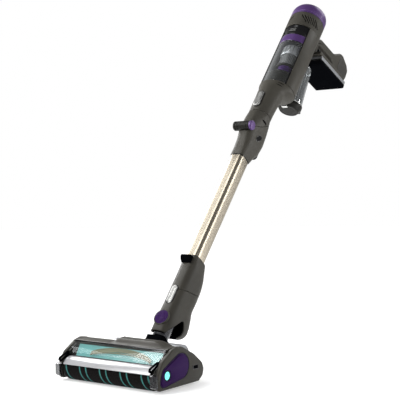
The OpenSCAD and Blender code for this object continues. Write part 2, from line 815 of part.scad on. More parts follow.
module cup_latch() color(silver) on_wand() cup_frame()
    translate([-8, -cup_r + 4 + gap, -lid_h - 2]) cube([16, 8, 5.4]);

nozzle_chassis();
nozzle_top_cover();
nozzle_window();
front_strip();
air_deflector();
sole_plate();
side_plates();
status_light();
end_bumpers();
front_brackets();
brush_motor();
drive_belt();
axles();
pivot_drums();
yoke_pins();
roller_door();
roller_latch();
roller_core();
roller_nap();
fin_brush();
wheel_left();
wheel_right();
neck_yoke();
neck_hose();
neck_shell();
scent_dial();
neck_button();
wand_collar();
collar_hook();
wand_tube();
flex_lower_shell();
flex_pin();
flex_bellows();
flex_button();
flex_upper_shell();
flex_caps();
wand_plug();
inlet_shell();
wand_button();
cyclone_window();
cyclone_base();
cyclone_shroud();
body_cradle();
purple_band();
control_bezel();
motor_housing();
suction_motor();
suction_fan();
rear_filter();
rear_cap();
handle_shell();
trigger();
power_button();
battery();
battery_trim();
battery_button();
dust_cup();
cup_spine();
cup_lid();
cup_latch();
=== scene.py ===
import json
import math

import bmesh
import bpy
import numpy as np
from mathutils import Matrix, Vector
from mathutils.geometry import tessellate_polygon


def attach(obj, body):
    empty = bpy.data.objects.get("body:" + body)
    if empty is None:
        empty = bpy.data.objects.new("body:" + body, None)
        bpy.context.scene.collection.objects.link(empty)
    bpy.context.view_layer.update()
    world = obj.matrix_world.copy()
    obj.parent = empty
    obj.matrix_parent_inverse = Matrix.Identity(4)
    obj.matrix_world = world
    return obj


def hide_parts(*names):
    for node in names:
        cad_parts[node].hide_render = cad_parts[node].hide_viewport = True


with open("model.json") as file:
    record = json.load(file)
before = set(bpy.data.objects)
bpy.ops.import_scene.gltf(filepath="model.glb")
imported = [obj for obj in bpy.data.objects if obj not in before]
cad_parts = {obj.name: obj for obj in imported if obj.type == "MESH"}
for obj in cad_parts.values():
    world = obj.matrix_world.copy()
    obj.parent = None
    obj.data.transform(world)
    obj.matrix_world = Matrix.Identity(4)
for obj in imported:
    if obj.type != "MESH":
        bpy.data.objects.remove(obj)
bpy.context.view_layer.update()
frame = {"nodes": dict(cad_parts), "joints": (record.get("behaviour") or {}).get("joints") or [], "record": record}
joints = {joint["name"]: joint for joint in frame["joints"]}
print("frame loaded:", len(frame["nodes"]), "nodes")

# The wand's own frame in millimetres: x across, y to its back, z up along it
pivot = np.array(joints["nozzle_pitch"]["pos_m"])
up = np.array(joints["neck_steer"]["axis"])
back = np.array(joints["dial_turn"]["axis"])
wandOrigin = pivot + 0.014 * back


def onWand(points):
    # wand millimetres to world metres: origin + x*X + y*back + z*up
    p = np.asarray(points, float) / 1000
    return wandOrigin + p[..., :1] * np.array([1.0, 0, 0]) + p[..., 1:2] * back + p[..., 2:] * up


def tilted(points, y, z, degrees):
    # turns points about X by the angle, then moves them to y, z in the wand's frame
    p = np.asarray(points, float)
    c, s = math.cos(math.radians(degrees)), math.sin(math.radians(degrees))
    return np.stack([p[..., 0], y + p[..., 1] * c - p[..., 2] * s,
                     z + p[..., 1] * s + p[..., 2] * c], -1)


def toWand(points):
    # world metres back to wand millimetres
    p = (np.asarray(points) - wandOrigin) * 1000
    return np.stack([p[:, 0], p @ back, p @ up], -1)


def onFloor(points):
    return np.asarray(points, float) / 1000


class Shape:
    # collects grids of points and outlines, then becomes one piece
    def __init__(self, place=onWand):
        self.place, self.verts, self.faces, self.uvs, self.count = place, [], [], [], 0

    def grid(self, points, wrapU=False, wrapV=False, cap=False):
        # a sheet of quads over rows u and columns v; cap closes the first and last rows
        m, n = points.shape[:2]
        i, j = (a.ravel() for a in np.meshgrid(np.arange(m if wrapU else m - 1),
                                               np.arange(n if wrapV else n - 1), indexing="ij"))
        corners = [(i, j), (i + 1, j), (i + 1, j + 1), (i, j + 1)]
        quads = np.stack([(a % m) * n + b % n for a, b in corners], -1) + self.count
        size = (m if wrapU else m - 1, n if wrapV else n - 1)
        uv = np.stack([np.stack([a / size[0], b / size[1]], -1) for a, b in corners], 1)
        self.faces += quads.tolist()
        self.uvs.append(uv.reshape(-1, 2))
        if cap:
            for row in (0, m - 1):
                self.faces.append((np.arange(n) + row * n + self.count).tolist())
                self.uvs.append(np.full((n, 2), 0.5))
        self.verts.append(self.place(points).reshape(-1, 3))
        self.count += m * n
        return self

    def flat(self, loops):
        # fills a flat outline that may have holes, given as loops of points
        rings = [[Vector(p) for p in self.place(loop)] for loop in loops]
        triangles = tessellate_polygon(rings)
        self.verts.append(np.array([p for ring in rings for p in ring]))
        self.faces += [[a + self.count for a in t] for t in triangles]
        self.uvs.append(np.full((3 * len(triangles), 2), 0.5))
        self.count += sum(len(ring) for ring in rings)
        return self

    def piece(self, name, body, material, slot=None, stands=(), sharp=40):
        mesh = bpy.data.meshes.new(name)
        mesh.from_pydata(np.concatenate(self.verts).tolist(), [], self.faces)
        layer = mesh.uv_layers.new(name="own")
        layer.data.foreach_set("uv", np.concatenate(self.uvs).ravel())
        return settle(name, mesh, body, material, stands, sharp, 2e-6)


def settle(name, mesh, body, material, stands, sharp, merge):
    # merges seams and poles, points the faces outwards and hangs the piece on its body
    work = bmesh.new()
    work.from_mesh(mesh)
    bmesh.ops.remove_doubles(work, verts=work.verts, dist=merge)
    bmesh.ops.recalc_face_normals(work, faces=work.faces)
    work.to_mesh(mesh)
    work.free()
    mesh.shade_smooth()
    mesh.set_sharp_from_angle(angle=math.radians(sharp))
    obj = bpy.data.objects.new(name, mesh)
    bpy.context.scene.collection.objects.link(obj)
    mesh.materials.clear()
    mesh.materials.append(material)
    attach(obj, body)
    if stands:
        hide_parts(*stands)
    return obj


def bodyOf(node):
    return next(body for body, nodes in frame["record"]["behaviour"]["bodies"].items() if node in nodes)


def softened(node, width, material, steps=3, angle=32):
    # a copy of a CAD node, merged, with its edges rounded by width in millimetres
    mesh = frame["nodes"][node].data.copy()
    work = bmesh.new()
    work.from_mesh(mesh)
    bmesh.ops.remove_doubles(work, verts=work.verts, dist=1e-5)
    bmesh.ops.dissolve_limit(work, angle_limit=math.radians(0.6), verts=work.verts, edges=work.edges)
    edges = [e for e in work.edges if len(e.link_faces) == 2
             and e.calc_face_angle(0) > math.radians(angle)]
    bmesh.ops.bevel(work, geom=edges, offset=width / 1000, segments=steps, profile=0.5,
                    affect="EDGES", clamp_overlap=True)
    bmesh.ops.triangulate(work, faces=[f for f in work.faces if len(f.verts) > 4])
    work.to_mesh(mesh)
    work.free()
    name = node.title().replace("_", "")
    name = name[0].lower() + name[1:]
    return settle(name, mesh, bodyOf(node), material, [node], 50, 1e-7)


def smoothCurve(at, keys, column):
    # cubic through the keys, with slopes from their neighbours; keys are rows that start with z
    zs, values = keys[:, 0], keys[:, column]
    slopes = np.gradient(values, zs)
    at = np.clip(at, zs[0], zs[-1])
    k = np.clip(np.searchsorted(zs, at) - 1, 0, len(zs) - 2)
    h = zs[k + 1] - zs[k]
    t = (at - zs[k]) / h
    return ((1 + 2 * t) * (1 - t) ** 2 * values[k] + t * (1 - t) ** 2 * h * slopes[k]
            + t * t * (3 - 2 * t) * values[k + 1] + t * t * (t - 1) * h * slopes[k + 1])


def rounded(points, radius, steps=6, closed=True):
    # polygon whose corners become arcs: each arc starts and ends at radius*tan(half turn) from its corner
    points = [np.array(p, float) for p in points]
    out = []
    for k, p in enumerate(points):
        if not closed and k in (0, len(points) - 1):
            out.append(p)
            continue
        a, b = points[k - 1] - p, points[(k + 1) % len(points)] - p
        la, lb = np.linalg.norm(a), np.linalg.norm(b)
        a, b = a / la, b / lb
        half = math.acos(np.clip(a @ b, -1, 1)) / 2
        r = radius[k] if isinstance(radius, (list, tuple)) else radius
        reach = min(r / max(math.tan(half), 1e-6), la * 0.48, lb * 0.48)
        r = reach * math.tan(half)
        centre = p + (a + b) / np.linalg.norm(a + b) * r / math.sin(half)
        start, end = p + a * reach - centre, p + b * reach - centre
        for t in np.linspace(0, 1, steps + 1):
            v = start * (1 - t) + end * t
            out.append(centre + v / max(np.linalg.norm(v), 1e-9) * np.linalg.norm(start))
    return np.array(out)


def dense(line, step, closed=False):
    # the same line with points no further apart than step
    line = np.asarray(line, float)
    if closed:
        line = np.vstack([line, line[:1]])
    out = [line[:1]]
    for a, b in zip(line[:-1], line[1:]):
        n = max(1, int(math.ceil(np.linalg.norm(b - a) / step)))
        out.append(a + (b - a) * np.linspace(0, 1, n + 1)[1:, None])
    out = np.vstack(out)
    return out[:-1] if closed else out


def turned(profile, axisY=0.0, arc=None, count=128, limitY=None):
    # profile of (radius, z) carried round the axis: x = r sin a, y = axisY - r cos a
    profile = np.asarray(profile, float)
    a = np.linspace(0, 2 * math.pi, count, endpoint=False) if arc is None else \
        np.radians(np.linspace(-arc, arc, count))
    r, z = profile[:, :1], profile[:, 1:]
    y = axisY - r * np.cos(a)
    if limitY is not None:
        y = np.minimum(y, limitY(z))
    return np.stack([r * np.sin(a), y, z + 0 * a], -1)


def superRect(angle, width, front, rear, power):
    # superellipse between front and rear: |x/a|^p + |y/b|^p = 1
    c, s = np.cos(angle), np.sin(angle)
    x = np.sign(s) * np.abs(s) ** (2 / power) * width / 2
    y = (front + rear) / 2 - np.sign(c) * np.abs(c) ** (2 / power) * (rear - front) / 2
    return x, y


def loftShell(shape, keys, low, high, wall, edge=0.9, rows=48, columns=96, inner=None, limitY=None):
    # closed shell: outer skin up, rounded rim, inner skin down, rounded rim.
    # keys rows are z, width, front, rear, power; low and high give the rims' z for each angle
    keys = np.array(keys, float)
    angle = np.linspace(0, 2 * math.pi, columns, endpoint=False)
    rim = np.linspace(0, math.pi, 7)[1:-1]
    run = np.linspace(0, 1, rows)
    t = np.concatenate([run, 1 + 0 * rim, run[::-1], 0 * rim])[:, None]
    inset = np.concatenate([0 * run, (1 - np.cos(rim)) / 2, 1 + 0 * run, (1 + np.cos(rim)) / 2])[:, None]
    bulge = np.concatenate([0 * run, np.sin(rim), 0 * run, -np.sin(rim)])[:, None] * edge
    lowZ, highZ = low(angle) + edge, high(angle) - edge
    z = lowZ + t * (highZ - lowZ) + bulge
    column = [smoothCurve(z, keys, k) for k in (1, 2, 3, 4)]
    x, y = superRect(angle + 0 * z, column[0], column[1], column[2], column[3])
    if inner is None:
        ix, iy = superRect(angle + 0 * z, column[0] - 2 * wall, column[1] + wall,
                           column[2] - wall, column[3])
    else:
        ix, iy = inner * np.sin(angle), -inner * np.cos(angle)
    if limitY is not None:
        y, iy = np.minimum(y, limitY(z)), np.minimum(iy, limitY(z) - wall)
    x, y = x + (ix - x) * inset, y + (iy - y) * inset
    return shape.grid(np.stack([x, y, z], -1), True, True)


def plate(shape, outline, x0, x1, edge, holes=(), steps=4):
    # outline in (y, z) carried across X, its rims rounded by insetting it: inset = edge (1 - sin a)
    a = np.linspace(0, math.pi / 2, steps + 1)
    xs = np.concatenate([x0 + edge * (1 - np.cos(a)), x1 - edge * (1 - np.cos(a[::-1]))])
    insets = np.concatenate([edge * (1 - np.sin(a)), edge * (1 - np.sin(a[::-1]))])
    ends = []
    for loop, sign in [(outline, 1)] + [(hole, -1) for hole in holes]:
        loop = np.asarray(loop, float)
        area = np.sum(loop[:, 0] * np.roll(loop[:, 1], -1) - np.roll(loop[:, 0], -1) * loop[:, 1])
        if area * sign < 0:
            loop = loop[::-1]
        along = np.roll(loop, -1, 0) - np.roll(loop, 1, 0)
        along /= np.maximum(np.linalg.norm(along, axis=1, keepdims=True), 1e-9)
        inward = np.stack([-along[:, 1], along[:, 0]], -1)
        ring = loop + inward * insets[:, None, None]
        points = np.concatenate([np.broadcast_to(xs[:, None, None], ring.shape[:2] + (1,)), ring], -1)
        shape.grid(points, False, True)
        ends.append(points)
    shape.flat([e[0] for e in ends])
    shape.flat([e[-1] for e in ends])
    return shape


def capsuleRings(radius, length, insets, count=20):
    # rings of a capsule outline, (x, z), shrunk by each inset
    a = np.linspace(0, math.pi, count)
    r = (radius - np.asarray(insets))[:, None]
    x = np.concatenate([np.cos(a), -np.cos(a)]) * r
    z = np.concatenate([np.sin(a), -np.sin(a)]) * r
    half = length / 2 - radius
    return x, z + np.concatenate([np.full(count, half), np.full(count, -half)])


def domedButton(shape, radius, length, face, deep, rise, z0, dish=0.0):
    # capsule button: side wall, rounded rim and a domed face that may be dished in its middle
    t = np.linspace(0, 1, 14)
    inset = np.concatenate([[0, 0], (radius - 0.6) * t ** 1.6])
    dome = rise * np.sqrt(np.clip(1 - (1 - inset[1:] / radius) ** 2, 0, 1))
    depth = np.concatenate([[deep], rise - dome + dish * (inset[1:] / radius) ** 3])
    x, z = capsuleRings(radius, length, inset)
    y = face + depth[:, None] + 0 * x
    return shape.grid(np.stack([x, y, z + z0], -1), False, True, True)


class Value:
    # one number socket; arithmetic on it adds Math nodes
    def __init__(self, finish, socket):
        self.finish, self.socket = finish, socket

    def math(self, operation, a, b=0.0):
        node = self.finish.add("ShaderNodeMath", {"operation": operation}, {0: a, 1: b})
        return Value(self.finish, node.outputs[0])

    def __add__(self, other):
        return self.math("ADD", self, other)

    def __radd__(self, other):
        return self.math("ADD", other, self)

    def __sub__(self, other):
        return self.math("SUBTRACT", self, other)

    def __rsub__(self, other):
        return self.math("SUBTRACT", other, self)

    def __mul__(self, other):
        return self.math("MULTIPLY", self, other)

    def __rmul__(self, other):
        return self.math("MULTIPLY", other, self)

    def __pow__(self, other):
        return self.math("POWER", self, other)

    def frac(self):
        return self.math("FRACT", self)

    def biggest(self, other):
        return self.math("MAXIMUM", self, other)

    def distance(self, middle):
        return (self - middle).math("ABSOLUTE", self - middle)


class Finish:
    # one material: every node comes from add, every socket is filled by feed
    def __init__(self, name, **constants):
        self.material = bpy.data.materials.new(name)
        self.material.use_nodes = True
        self.tree = self.material.node_tree
        self.shader = self.tree.nodes["Principled BSDF"]
        for key, value in constants.items():
            self.shader.inputs[key.replace("_", " ")].default_value = value
        self.place = self.add("ShaderNodeTexCoord").outputs["Object"]

    def add(self, kind, settings=None, sockets=None):
        node = self.tree.nodes.new(kind)
        for key, value in (settings or {}).items():
            if key == "stops":
                for k, (position, colour) in enumerate(value):
                    stop = node.color_ramp.elements[k] if k < 2 else node.color_ramp.elements.new(position)
                    stop.position, stop.color = position, (*colour, 1)
            else:
                setattr(node, key, value)
        for key, value in (sockets or {}).items():
            self.feed(node.inputs[key], value)
        return node

    def feed(self, socket, value):
        if isinstance(value, Value):
            value = value.socket
        if isinstance(value, bpy.types.NodeSocket):
            self.tree.links.new(value, socket)
        elif isinstance(value, (tuple, list)) and len(value) == 3 and socket.type == "RGBA":
            socket.default_value = (*value, 1)
        else:
            socket.default_value = value

    def uv(self, scale=(1, 1, 1)):
        own = self.add("ShaderNodeUVMap", {"uv_map": "own"}).outputs[0]
        return self.add("ShaderNodeMapping", None, {"Vector": own, "Scale": scale}).outputs[0]

    def axes(self, vector=None):
        node = self.add("ShaderNodeSeparateXYZ", None, {0: vector or self.place})
        return [Value(self, node.outputs[k]) for k in range(3)]

    def noise(self, scale, detail=2, stretch=None, turn=0.0, vector=None, rough=0.5):
        vector = vector or self.place
        if stretch:
            vector = self.add("ShaderNodeMapping", {"vector_type": "TEXTURE"},
                              {"Vector": vector, "Rotation": (turn, 0, 0), "Scale": stretch}).outputs[0]
        node = self.add("ShaderNodeTexNoise", None, {"Vector": vector, "Scale": scale,
                                                     "Detail": detail, "Roughness": rough})
        return Value(self, node.outputs[0])

    def cells(self, scale):
        node = self.add("ShaderNodeTexVoronoi", {"feature": "F1"}, {"Vector": self.place, "Scale": scale})
        return Value(self, node.outputs["Distance"])

    def span(self, value, low, high, start=0.0, end=1.0):
        node = self.add("ShaderNodeMapRange", {"clamp": True}, {
            "Value": value, "From Min": low, "From Max": high, "To Min": start, "To Max": end})
        return Value(self, node.outputs[0])

    def blend(self, factor, a, b):
        node = self.add("ShaderNodeMix", {"data_type": "RGBA"}, {0: factor})
        self.feed(node.inputs[6], a)
        self.feed(node.inputs[7], b)
        return node.outputs[2]

    def bump(self, height, depth, strength=1.0):
        node = self.add("ShaderNodeBump", None, {"Height": height, "Distance": depth, "Strength": strength})
        self.feed(self.shader.inputs["Normal"], node.outputs[0])

    def paint(self, **values):
        for key, value in values.items():
            self.feed(self.shader.inputs[key.replace("_", " ")], value)
        return self.material


def shade(colour, factor):
    return tuple(min(1.0, c * factor) for c in colour)


def mouldedPlastic(name, colour, rough=0.42, grain=2600, depth=0.00006, vary=0.14, coat=0.0,
                   metallic=0.0, sparkle=0.0, shine=0.32):
    # moulded skin: fine spark grain, slow colour drift and handled, shinier patches
    f = Finish(name, Coat_Roughness=0.12, Metallic=metallic, Specular_IOR_Level=shine)
    drift = f.noise(14, 4)
    skin = f.noise(grain, 2)
    handled = f.noise(38, 5, rough=0.6)
    tint = f.span(drift * 0.7 + skin * 0.3, 0.3, 0.7)
    base = f.blend(tint, shade(colour, 1 - vary), shade(colour, 1 + vary))
    if sparkle:
        flake = f.span(f.cells(5200), 0.0, 0.32, 1.0, 0.0)
        base = f.blend(flake * sparkle, base, shade(colour, 3.2))
    f.bump(skin * 0.7 + handled * 0.3, depth)
    values = {"Base_Color": base, "Roughness": f.span(handled, 0.3, 0.75, rough * 0.82, rough * 1.15)}
    if coat:
        values["Coat_Weight"] = f.span(handled, 0.3, 0.8, coat, coat * 0.8)
    return f.paint(**values)


def drawnMetal(name, colour, rough, along, turn, wave=0.10):
    # anodised, drawn along the part: long fine lines and a faint cloud in the dye
    f = Finish(name, Metallic=1.0)
    lines = f.noise(1500, 3, stretch=along, turn=turn)
    cloud = f.noise(9, 3)
    specks = f.cells(900)
    base = f.blend(f.span(cloud * 0.6 + lines * 0.4, 0.3, 0.7), shade(colour, 1 - wave),
                   shade(colour, 1 + wave))
    f.bump(lines, 0.00003, 0.5)
    return f.paint(Base_Color=base, Roughness=f.span(lines * 0.6 + specks * 0.4, 0.25, 0.75,
                                                     rough * 0.8, rough * 1.25))


def clearPlastic(name, tint, thin, edgeOn, rough=0.05):
    # clear moulding: mirror-like by Fresnel over a see-through wall, with faint dust and hairlines
    f = Finish(name, Metallic=0.85, IOR=1.5)
    view = Value(f, f.add("ShaderNodeLayerWeight", None, {"Blend": 0.4}).outputs["Facing"])
    dust = f.span(f.noise(700, 4), 0.6, 0.9)
    hairs = f.span(f.noise(240, 2, stretch=(0.05, 1, 1)), 0.62, 0.7)
    f.bump(f.noise(60, 2), 0.0001, 0.2)
    f.paint(Base_Color=f.blend(dust * 0.5, tint, shade(tint, 0.8)),
            Roughness=f.span(dust, 0, 1, rough, rough + 0.12))
    wall = f.add("ShaderNodeBsdfTransparent", None, {"Color": (0.95, 0.96, 0.96)})
    share = f.span(view ** 2.6, 0.0, 1.0, thin, edgeOn) + dust * 0.03 + hairs * 0.02
    mix = f.add("ShaderNodeMixShader", None, {0: share, 1: wall.outputs[0], 2: f.shader.outputs[0]})
    f.tree.links.new(mix.outputs[0], f.tree.nodes["Material Output"].inputs["Surface"])
    return f.material


def glowing(name, colour, strength):
    f = Finish(name, Emission_Strength=strength, Roughness=0.3)
    cell = f.span(f.cells(420), 0.0, 0.9, 1.0, 0.45)
    fade = f.noise(60, 2)
    glow = f.blend(f.span(fade * 0.4 + cell * 0.6, 0.2, 0.9), shade(colour, 0.55), colour)
    return f.paint(Base_Color=glow, Emission_Color=glow)


def rubberSkin(name, colour, rough=0.62):
    f = Finish(name)
    dust = f.noise(90, 5)
    grain = f.noise(3200, 2)
    f.bump(grain, 0.00005)
    return f.paint(Base_Color=f.blend(f.span(dust, 0.4, 0.8), colour, shade(colour, 1.9)),
                   Roughness=f.span(dust, 0.3, 0.8, rough - 0.12, rough + 0.12))


stripes = {"turns": 4.2, "start": 5.0, "pair": (0.35, 0.66), "half": 0.026, "soft": 0.01}


def rollerPile(name, s):
    # dense pile on its own UV (u along the roller, v round it), with paired thin stripes in a helix
    f = Finish(name, Sheen_Weight=0.02, Sheen_Roughness=0.5, Specular_IOR_Level=0.04)
    u, v, _ = f.axes(f.uv())
    turn = u * s["turns"] - v + s["start"]
    pair = turn.frac()
    first, second = (f.span(pair.distance(at), s["half"], s["half"] + s["soft"], 1.0, 0.0)
                     for at in s["pair"])
    stripe = first.biggest(second)
    pile = f.noise(1, 3, vector=f.uv((900, 420, 1)))
    clump = f.noise(1, 3, vector=f.uv((90, 30, 1)))
    dark = f.blend(clump, (0.0016, 0.0013, 0.0014), (0.006, 0.005, 0.005))
    lit = f.blend(clump, (0.022, 0.1, 0.095), (0.05, 0.18, 0.165))
    f.bump(pile * 0.7 + clump * 0.5 + stripe * 0.3, 0.0009, 0.8)
    return f.paint(Base_Color=f.blend(stripe, dark, lit), Roughness=f.span(pile, 0.2, 0.8, 0.7, 0.95))


def finMesh(name):
    # steel mesh round the cyclone: a lattice of round holes, not cut but painted near-black as painted shade of
    # the space behind them
    f = Finish(name, Metallic=1.0)
    u, v, _ = f.axes(f.uv())
    row = v * 40.0
    cell = (u * 150.0 + row.math("FLOOR", row) * 0.5).frac().distance(0.5)
    well = f.span(cell * cell + (row.frac().distance(0.5) ** 2.0), 0.05, 0.09, 1.0, 0.0)
    cloud = f.noise(30, 3)
    f.bump(1.0 - well, 0.0006)
    # the near-black (0.03) in the holes is painted shade, not the steel's colour
    return f.paint(Base_Color=f.blend(well, f.blend(cloud, (0.3, 0.3, 0.31), (0.42, 0.42, 0.42)),
                                      (0.03, 0.03, 0.03)),
                   Roughness=f.span(well, 0, 1, 0.32, 0.7))


taupe = mouldedPlastic("taupeShell", (0.037, 0.0345, 0.0285), 0.46, shine=0.13)
taupeDark = mouldedPlastic("taupeShade", (0.022, 0.0205, 0.0175), 0.45)
darkPart = mouldedPlastic("darkMoulding", (0.008, 0.0076, 0.0062), 0.4, shine=0.1)
blackPart = mouldedPlastic("blackMoulding", (0.0018, 0.002, 0.0026), 0.45, shine=0.0)
gloss = mouldedPlastic("pianoBlack", (0.003, 0.003, 0.0035), 0.14, depth=0.00001, coat=0.25, shine=0.15)
purple = mouldedPlastic("purplePaint", (0.058, 0.024, 0.112), 0.38, depth=0.00002, metallic=0.3,
                        coat=0.25, sparkle=0.3)
purpleDeep = mouldedPlastic("purpleDeep", (0.024, 0.007, 0.054), 0.44, depth=0.00002, metallic=0.1,
                            coat=0.0, sparkle=0.2, shine=0.03)
silver = mouldedPlastic("platedSilver", (0.5, 0.5, 0.49), 0.24, depth=0.000003, metallic=0.95, vary=0.06)
buttonSilver = mouldedPlastic("buttonSilver", (0.16, 0.16, 0.155), 0.34, depth=0.000003, metallic=0.9,
                              vary=0.06)
greyTrim = mouldedPlastic("greyTrim", (0.22, 0.225, 0.235), 0.36, metallic=0.5, vary=0.07)
whiteStrip = mouldedPlastic("glossStrip", (0.33, 0.33, 0.34), 0.24, depth=0.00001, coat=0.25, vary=0.05,
                            metallic=0.1)
olive = mouldedPlastic("oliveRib", (0.16, 0.165, 0.09), 0.4)
champagne = drawnMetal("champagneAnodised", (0.3, 0.268, 0.215), 0.3, (1, 1, 60), -math.radians(39))
steel = drawnMetal("turnedSteel", (0.6, 0.6, 0.61), 0.26, (1, 60, 60), 0.0)
clear = clearPlastic("clearWindow", (0.9, 0.92, 0.93), 0.018, 0.85)
clearFront = clearPlastic("clearFront", (0.9, 0.92, 0.93), 0.03, 0.6)
clearGrey = clearPlastic("clearCup", (0.62, 0.64, 0.65), 0.2, 0.9)
frosted = clearPlastic("smokedBumper", (0.045, 0.045, 0.048), 0.6, 0.92, 0.2)
teal = glowing("tealLamp", (0.16, 0.78, 0.72), 1.0)
tealSoft = glowing("tealGlow", (0.11, 0.33, 0.32), 0.62)
hoseRubber = rubberSkin("hoseRubber", (0.05, 0.052, 0.058), 0.3)
wheelRubber = rubberSkin("wheelRubber", (0.012, 0.012, 0.012), 0.6)
finRubber = rubberSkin("finRubber", (0.1, 0.06, 0.22), 0.55)
pile = rollerPile("rollerPile", stripes)
meshSteel = finMesh("shroudMesh")
paper = mouldedPlastic("filterPaper", (0.6, 0.58, 0.52), 0.8)
print("finishes made")


# Hand unit: its round parts share one axis, this far behind the wand's
axisY = 27


cup = {"away": 98, "start": 832, "turn": 10, "radius": 31.8, "clearance": 1.5,
       "outer": [(30.6, 0.3), (30.9, 8), (30.9, 121.6), (0, 121.6)],
       "inner": [(0, 119.2), (28.7, 119.2), (28.7, 0.3)],
       "ribs": ((58, 3.2), (76, 1.2), (104, 4.5), (-58, 3.2), (-104, 4.5)),
       "rib": [(25.4, 6), (28.3, 6), (28.3, 112), (25.4, 108)],
       "core": [(9, 20), (12, 20), (17, 96), (14, 96)],
       "lid": [(0, -20), (25.6, -20), (32.4, -9.5), (32.9, -1.0), (27.6, -0.7), (27.6, -6), (0, -6)],
       "lug": [(30, -7), (38, -6.5), (40.6, -3.4), (40, 0.6), (36, 1.8), (32, -1)],
       "rim": [(31, -3.0), (33.0, -3.0), (33.0, -0.7), (31, -0.7)]}


def cupFront(z):
    # the dust cup's front edge at height z, so that what stands before it stays clear of it
    lean = math.tan(math.radians(cup["turn"])) * (z - cup["start"])
    return cup["away"] - lean - cup["radius"] - cup["clearance"]


def onCup(points):
    return onWand(tilted(points, cup["away"], cup["start"], cup["turn"]))


housing = {"outer": 49.0, "inner": 46.2, "low": 1018.3, "high": 1066.8, "slots": 6, "slotTurn": 9.0,
           "firstSlot": 26.0, "slotSlant": 38.0, "slotLength": 34.0, "slotWidth": 3.0, "slotDepth": 2.3,
           "liner": [(46.5, 1024), (47.5, 1024), (47.5, 1061), (46.5, 1061)]}


def makeHousing(h):
    profile = dense(rounded([(h["inner"], h["low"]), (h["outer"], h["low"]), (h["outer"], h["high"]),
                             (h["inner"], h["high"])], [0.4, 1.0, 1.0, 0.4]), 0.8, True)
    count = 640
    points = turned(profile, 0, count=count)
    angle = np.linspace(0, 360, count, endpoint=False)
    angle = np.where(angle > 180, angle - 360, angle)
    r, z = profile[:, :1] + 0 * angle, profile[:, 1:] - (h["low"] + h["high"]) / 2
    # slots: distance from a slanted line on the unrolled skin, sunk by a smooth step
    cut = np.zeros_like(r)
    slant = math.radians(h["slotSlant"])
    for side in (-1, 1):
        for k in range(h["slots"]):
            s = np.radians(angle - side * (h["firstSlot"] + k * h["slotTurn"])) * h["outer"]
            along = z * math.cos(slant) - side * s * math.sin(slant)
            across = z * math.sin(slant) * side + s * math.cos(slant)
            over = np.maximum(np.abs(along) - h["slotLength"] / 2 + h["slotWidth"], 0)
            gap = np.hypot(over, across) - h["slotWidth"] / 2
            cut = np.maximum(cut, np.clip(0.5 - gap * 1.6, 0, 1))
    sink = cut * h["slotDepth"] * (r > h["outer"] - 0.6)
    scale = (r - sink) / r
    points[..., 0] *= scale
    points[..., 1] *= scale
    points[..., 1] += axisY
    Shape().grid(points, True, True).piece("motorHousing", "hand_unit", taupe, "taupe_shell",
                                           ["motor_housing"], 32)
    # black ring inside the wall, seen only in the sunk slot floors: painted shade in the vent slots
    ringPiece("ventSlotShade", blackPart, h["liner"], 0.3, slot="black_plastic")


cap = {"low": 1067.6, "high": 1112.8, "radius": 49.0, "dome": 26.0, "wall": 2.6, "ring": 17, "ringDeep": 0.5}


def makeCap(c):
    r, z0, z1 = c["radius"], c["low"], c["high"]
    a = np.linspace(0, math.pi / 2, 24)
    arc = np.stack([np.cos(a), np.sin(a)], -1)
    centre = np.array([r - c["dome"], z1 - c["dome"]])
    outer = np.vstack([[(0, z1)], (centre + arc * c["dome"])[::-1], [(r, z0 + 7.2)]])
    groove = rounded([(r, z0 + 7.2), (r - 0.9, z0 + 6.6), (r - 0.9, z0 + 5.8), (r, z0 + 5.2),
                      (r, z0), (r - c["wall"], z0)], 0.4, 3, False)
    inner = np.vstack([[(r - c["wall"], z0 + 2)], centre + arc * (c["dome"] - c["wall"]),
                       [(0, z1 - c["wall"])]])
    outer = dense(outer, 1.4)
    ring = c["ringDeep"] * np.exp(-((outer[:, 0] - c["ring"]) / 0.9) ** 2)
    outer[:, 1] -= ring * (outer[:, 1] > z1 - 6)
    profile = np.vstack([outer, groove, inner])
    Shape().grid(turned(profile, axisY, count=160), False, True).piece(
        "rearCap", "cap", purple, "purple_plastic", ["rear_cap"], 50)


def ringPiece(name, material, corners, radii, body="hand_unit", stands=(), slot=None, limit=None,
              axis=axisY):
    # ring whose closed section (radius, z) is rounded and carried round the axis
    profile = dense(rounded(corners, radii, 5), 3.0, True)
    points = turned(profile, axis, None, 160, limit)
    return Shape().grid(points, True, True).piece(name, body, material, slot, stands, 45)


def sectorShell(shape, r0, r1, low, high, arc, edge=0.8, count=120):
    # part of a tube from -arc to arc, closed at its ends by rounding the wall round to itself
    a = np.linspace(0, 2 * math.pi, 24, endpoint=False)
    middle, half = (r0 + r1) / 2, (r1 - r0) / 2
    z = np.concatenate([np.linspace(low + edge, high - edge, 40), high - edge + edge * np.sin(a[1:12]),
                        np.linspace(high - edge, low + edge, 40), low + edge - edge * np.sin(a[1:12])])
    side = np.concatenate([np.ones(40), np.cos(a[1:12]), -np.ones(40), -np.cos(a[1:12])])
    turn = np.radians(np.linspace(-arc, arc, count))
    r = middle + side[:, None] * half + 0 * turn
    y = axisY - r * np.cos(turn)
    points = np.stack([r * np.sin(turn), y, z[:, None] + 0 * r], -1)
    shape.grid(points, True, False)
    for column in (0, -1):
        m = len(z) // 2
        left, right = points[:m, column], points[m:, column][::-1]
        shape.grid(np.stack([left, right], 1))
    return shape


cyclone = {"outer": 46.0, "inner": 43.8, "low": 810.4, "high": 957.6, "arc": 78, "fins": 18,
           "base": [(14, 810.4), (42.6, 810.4), (42.6, 848), (40.5, 852), (36, 852), (33, 856), (14, 856)],
           "seal": [(40, 848.6), (43.4, 848.6), (43.4, 852.4), (40, 852.4)],
           "cone": [(17, 856.4), (25.4, 889.6)],
           "mesh": (27, 22, 890, 926),
           "collar": [(20, 926.4), (29.4, 926.4), (31, 931), (31, 956), (20, 956)],
           "skirt": [(24, 884), (29, 886), (30.4, 890), (24, 891)],
           "fin": [[28.8, 932], [31.6, 932], [31.6, 954], [28.8, 954]],
           "channel": (47.3, 56.4, 1.3)}


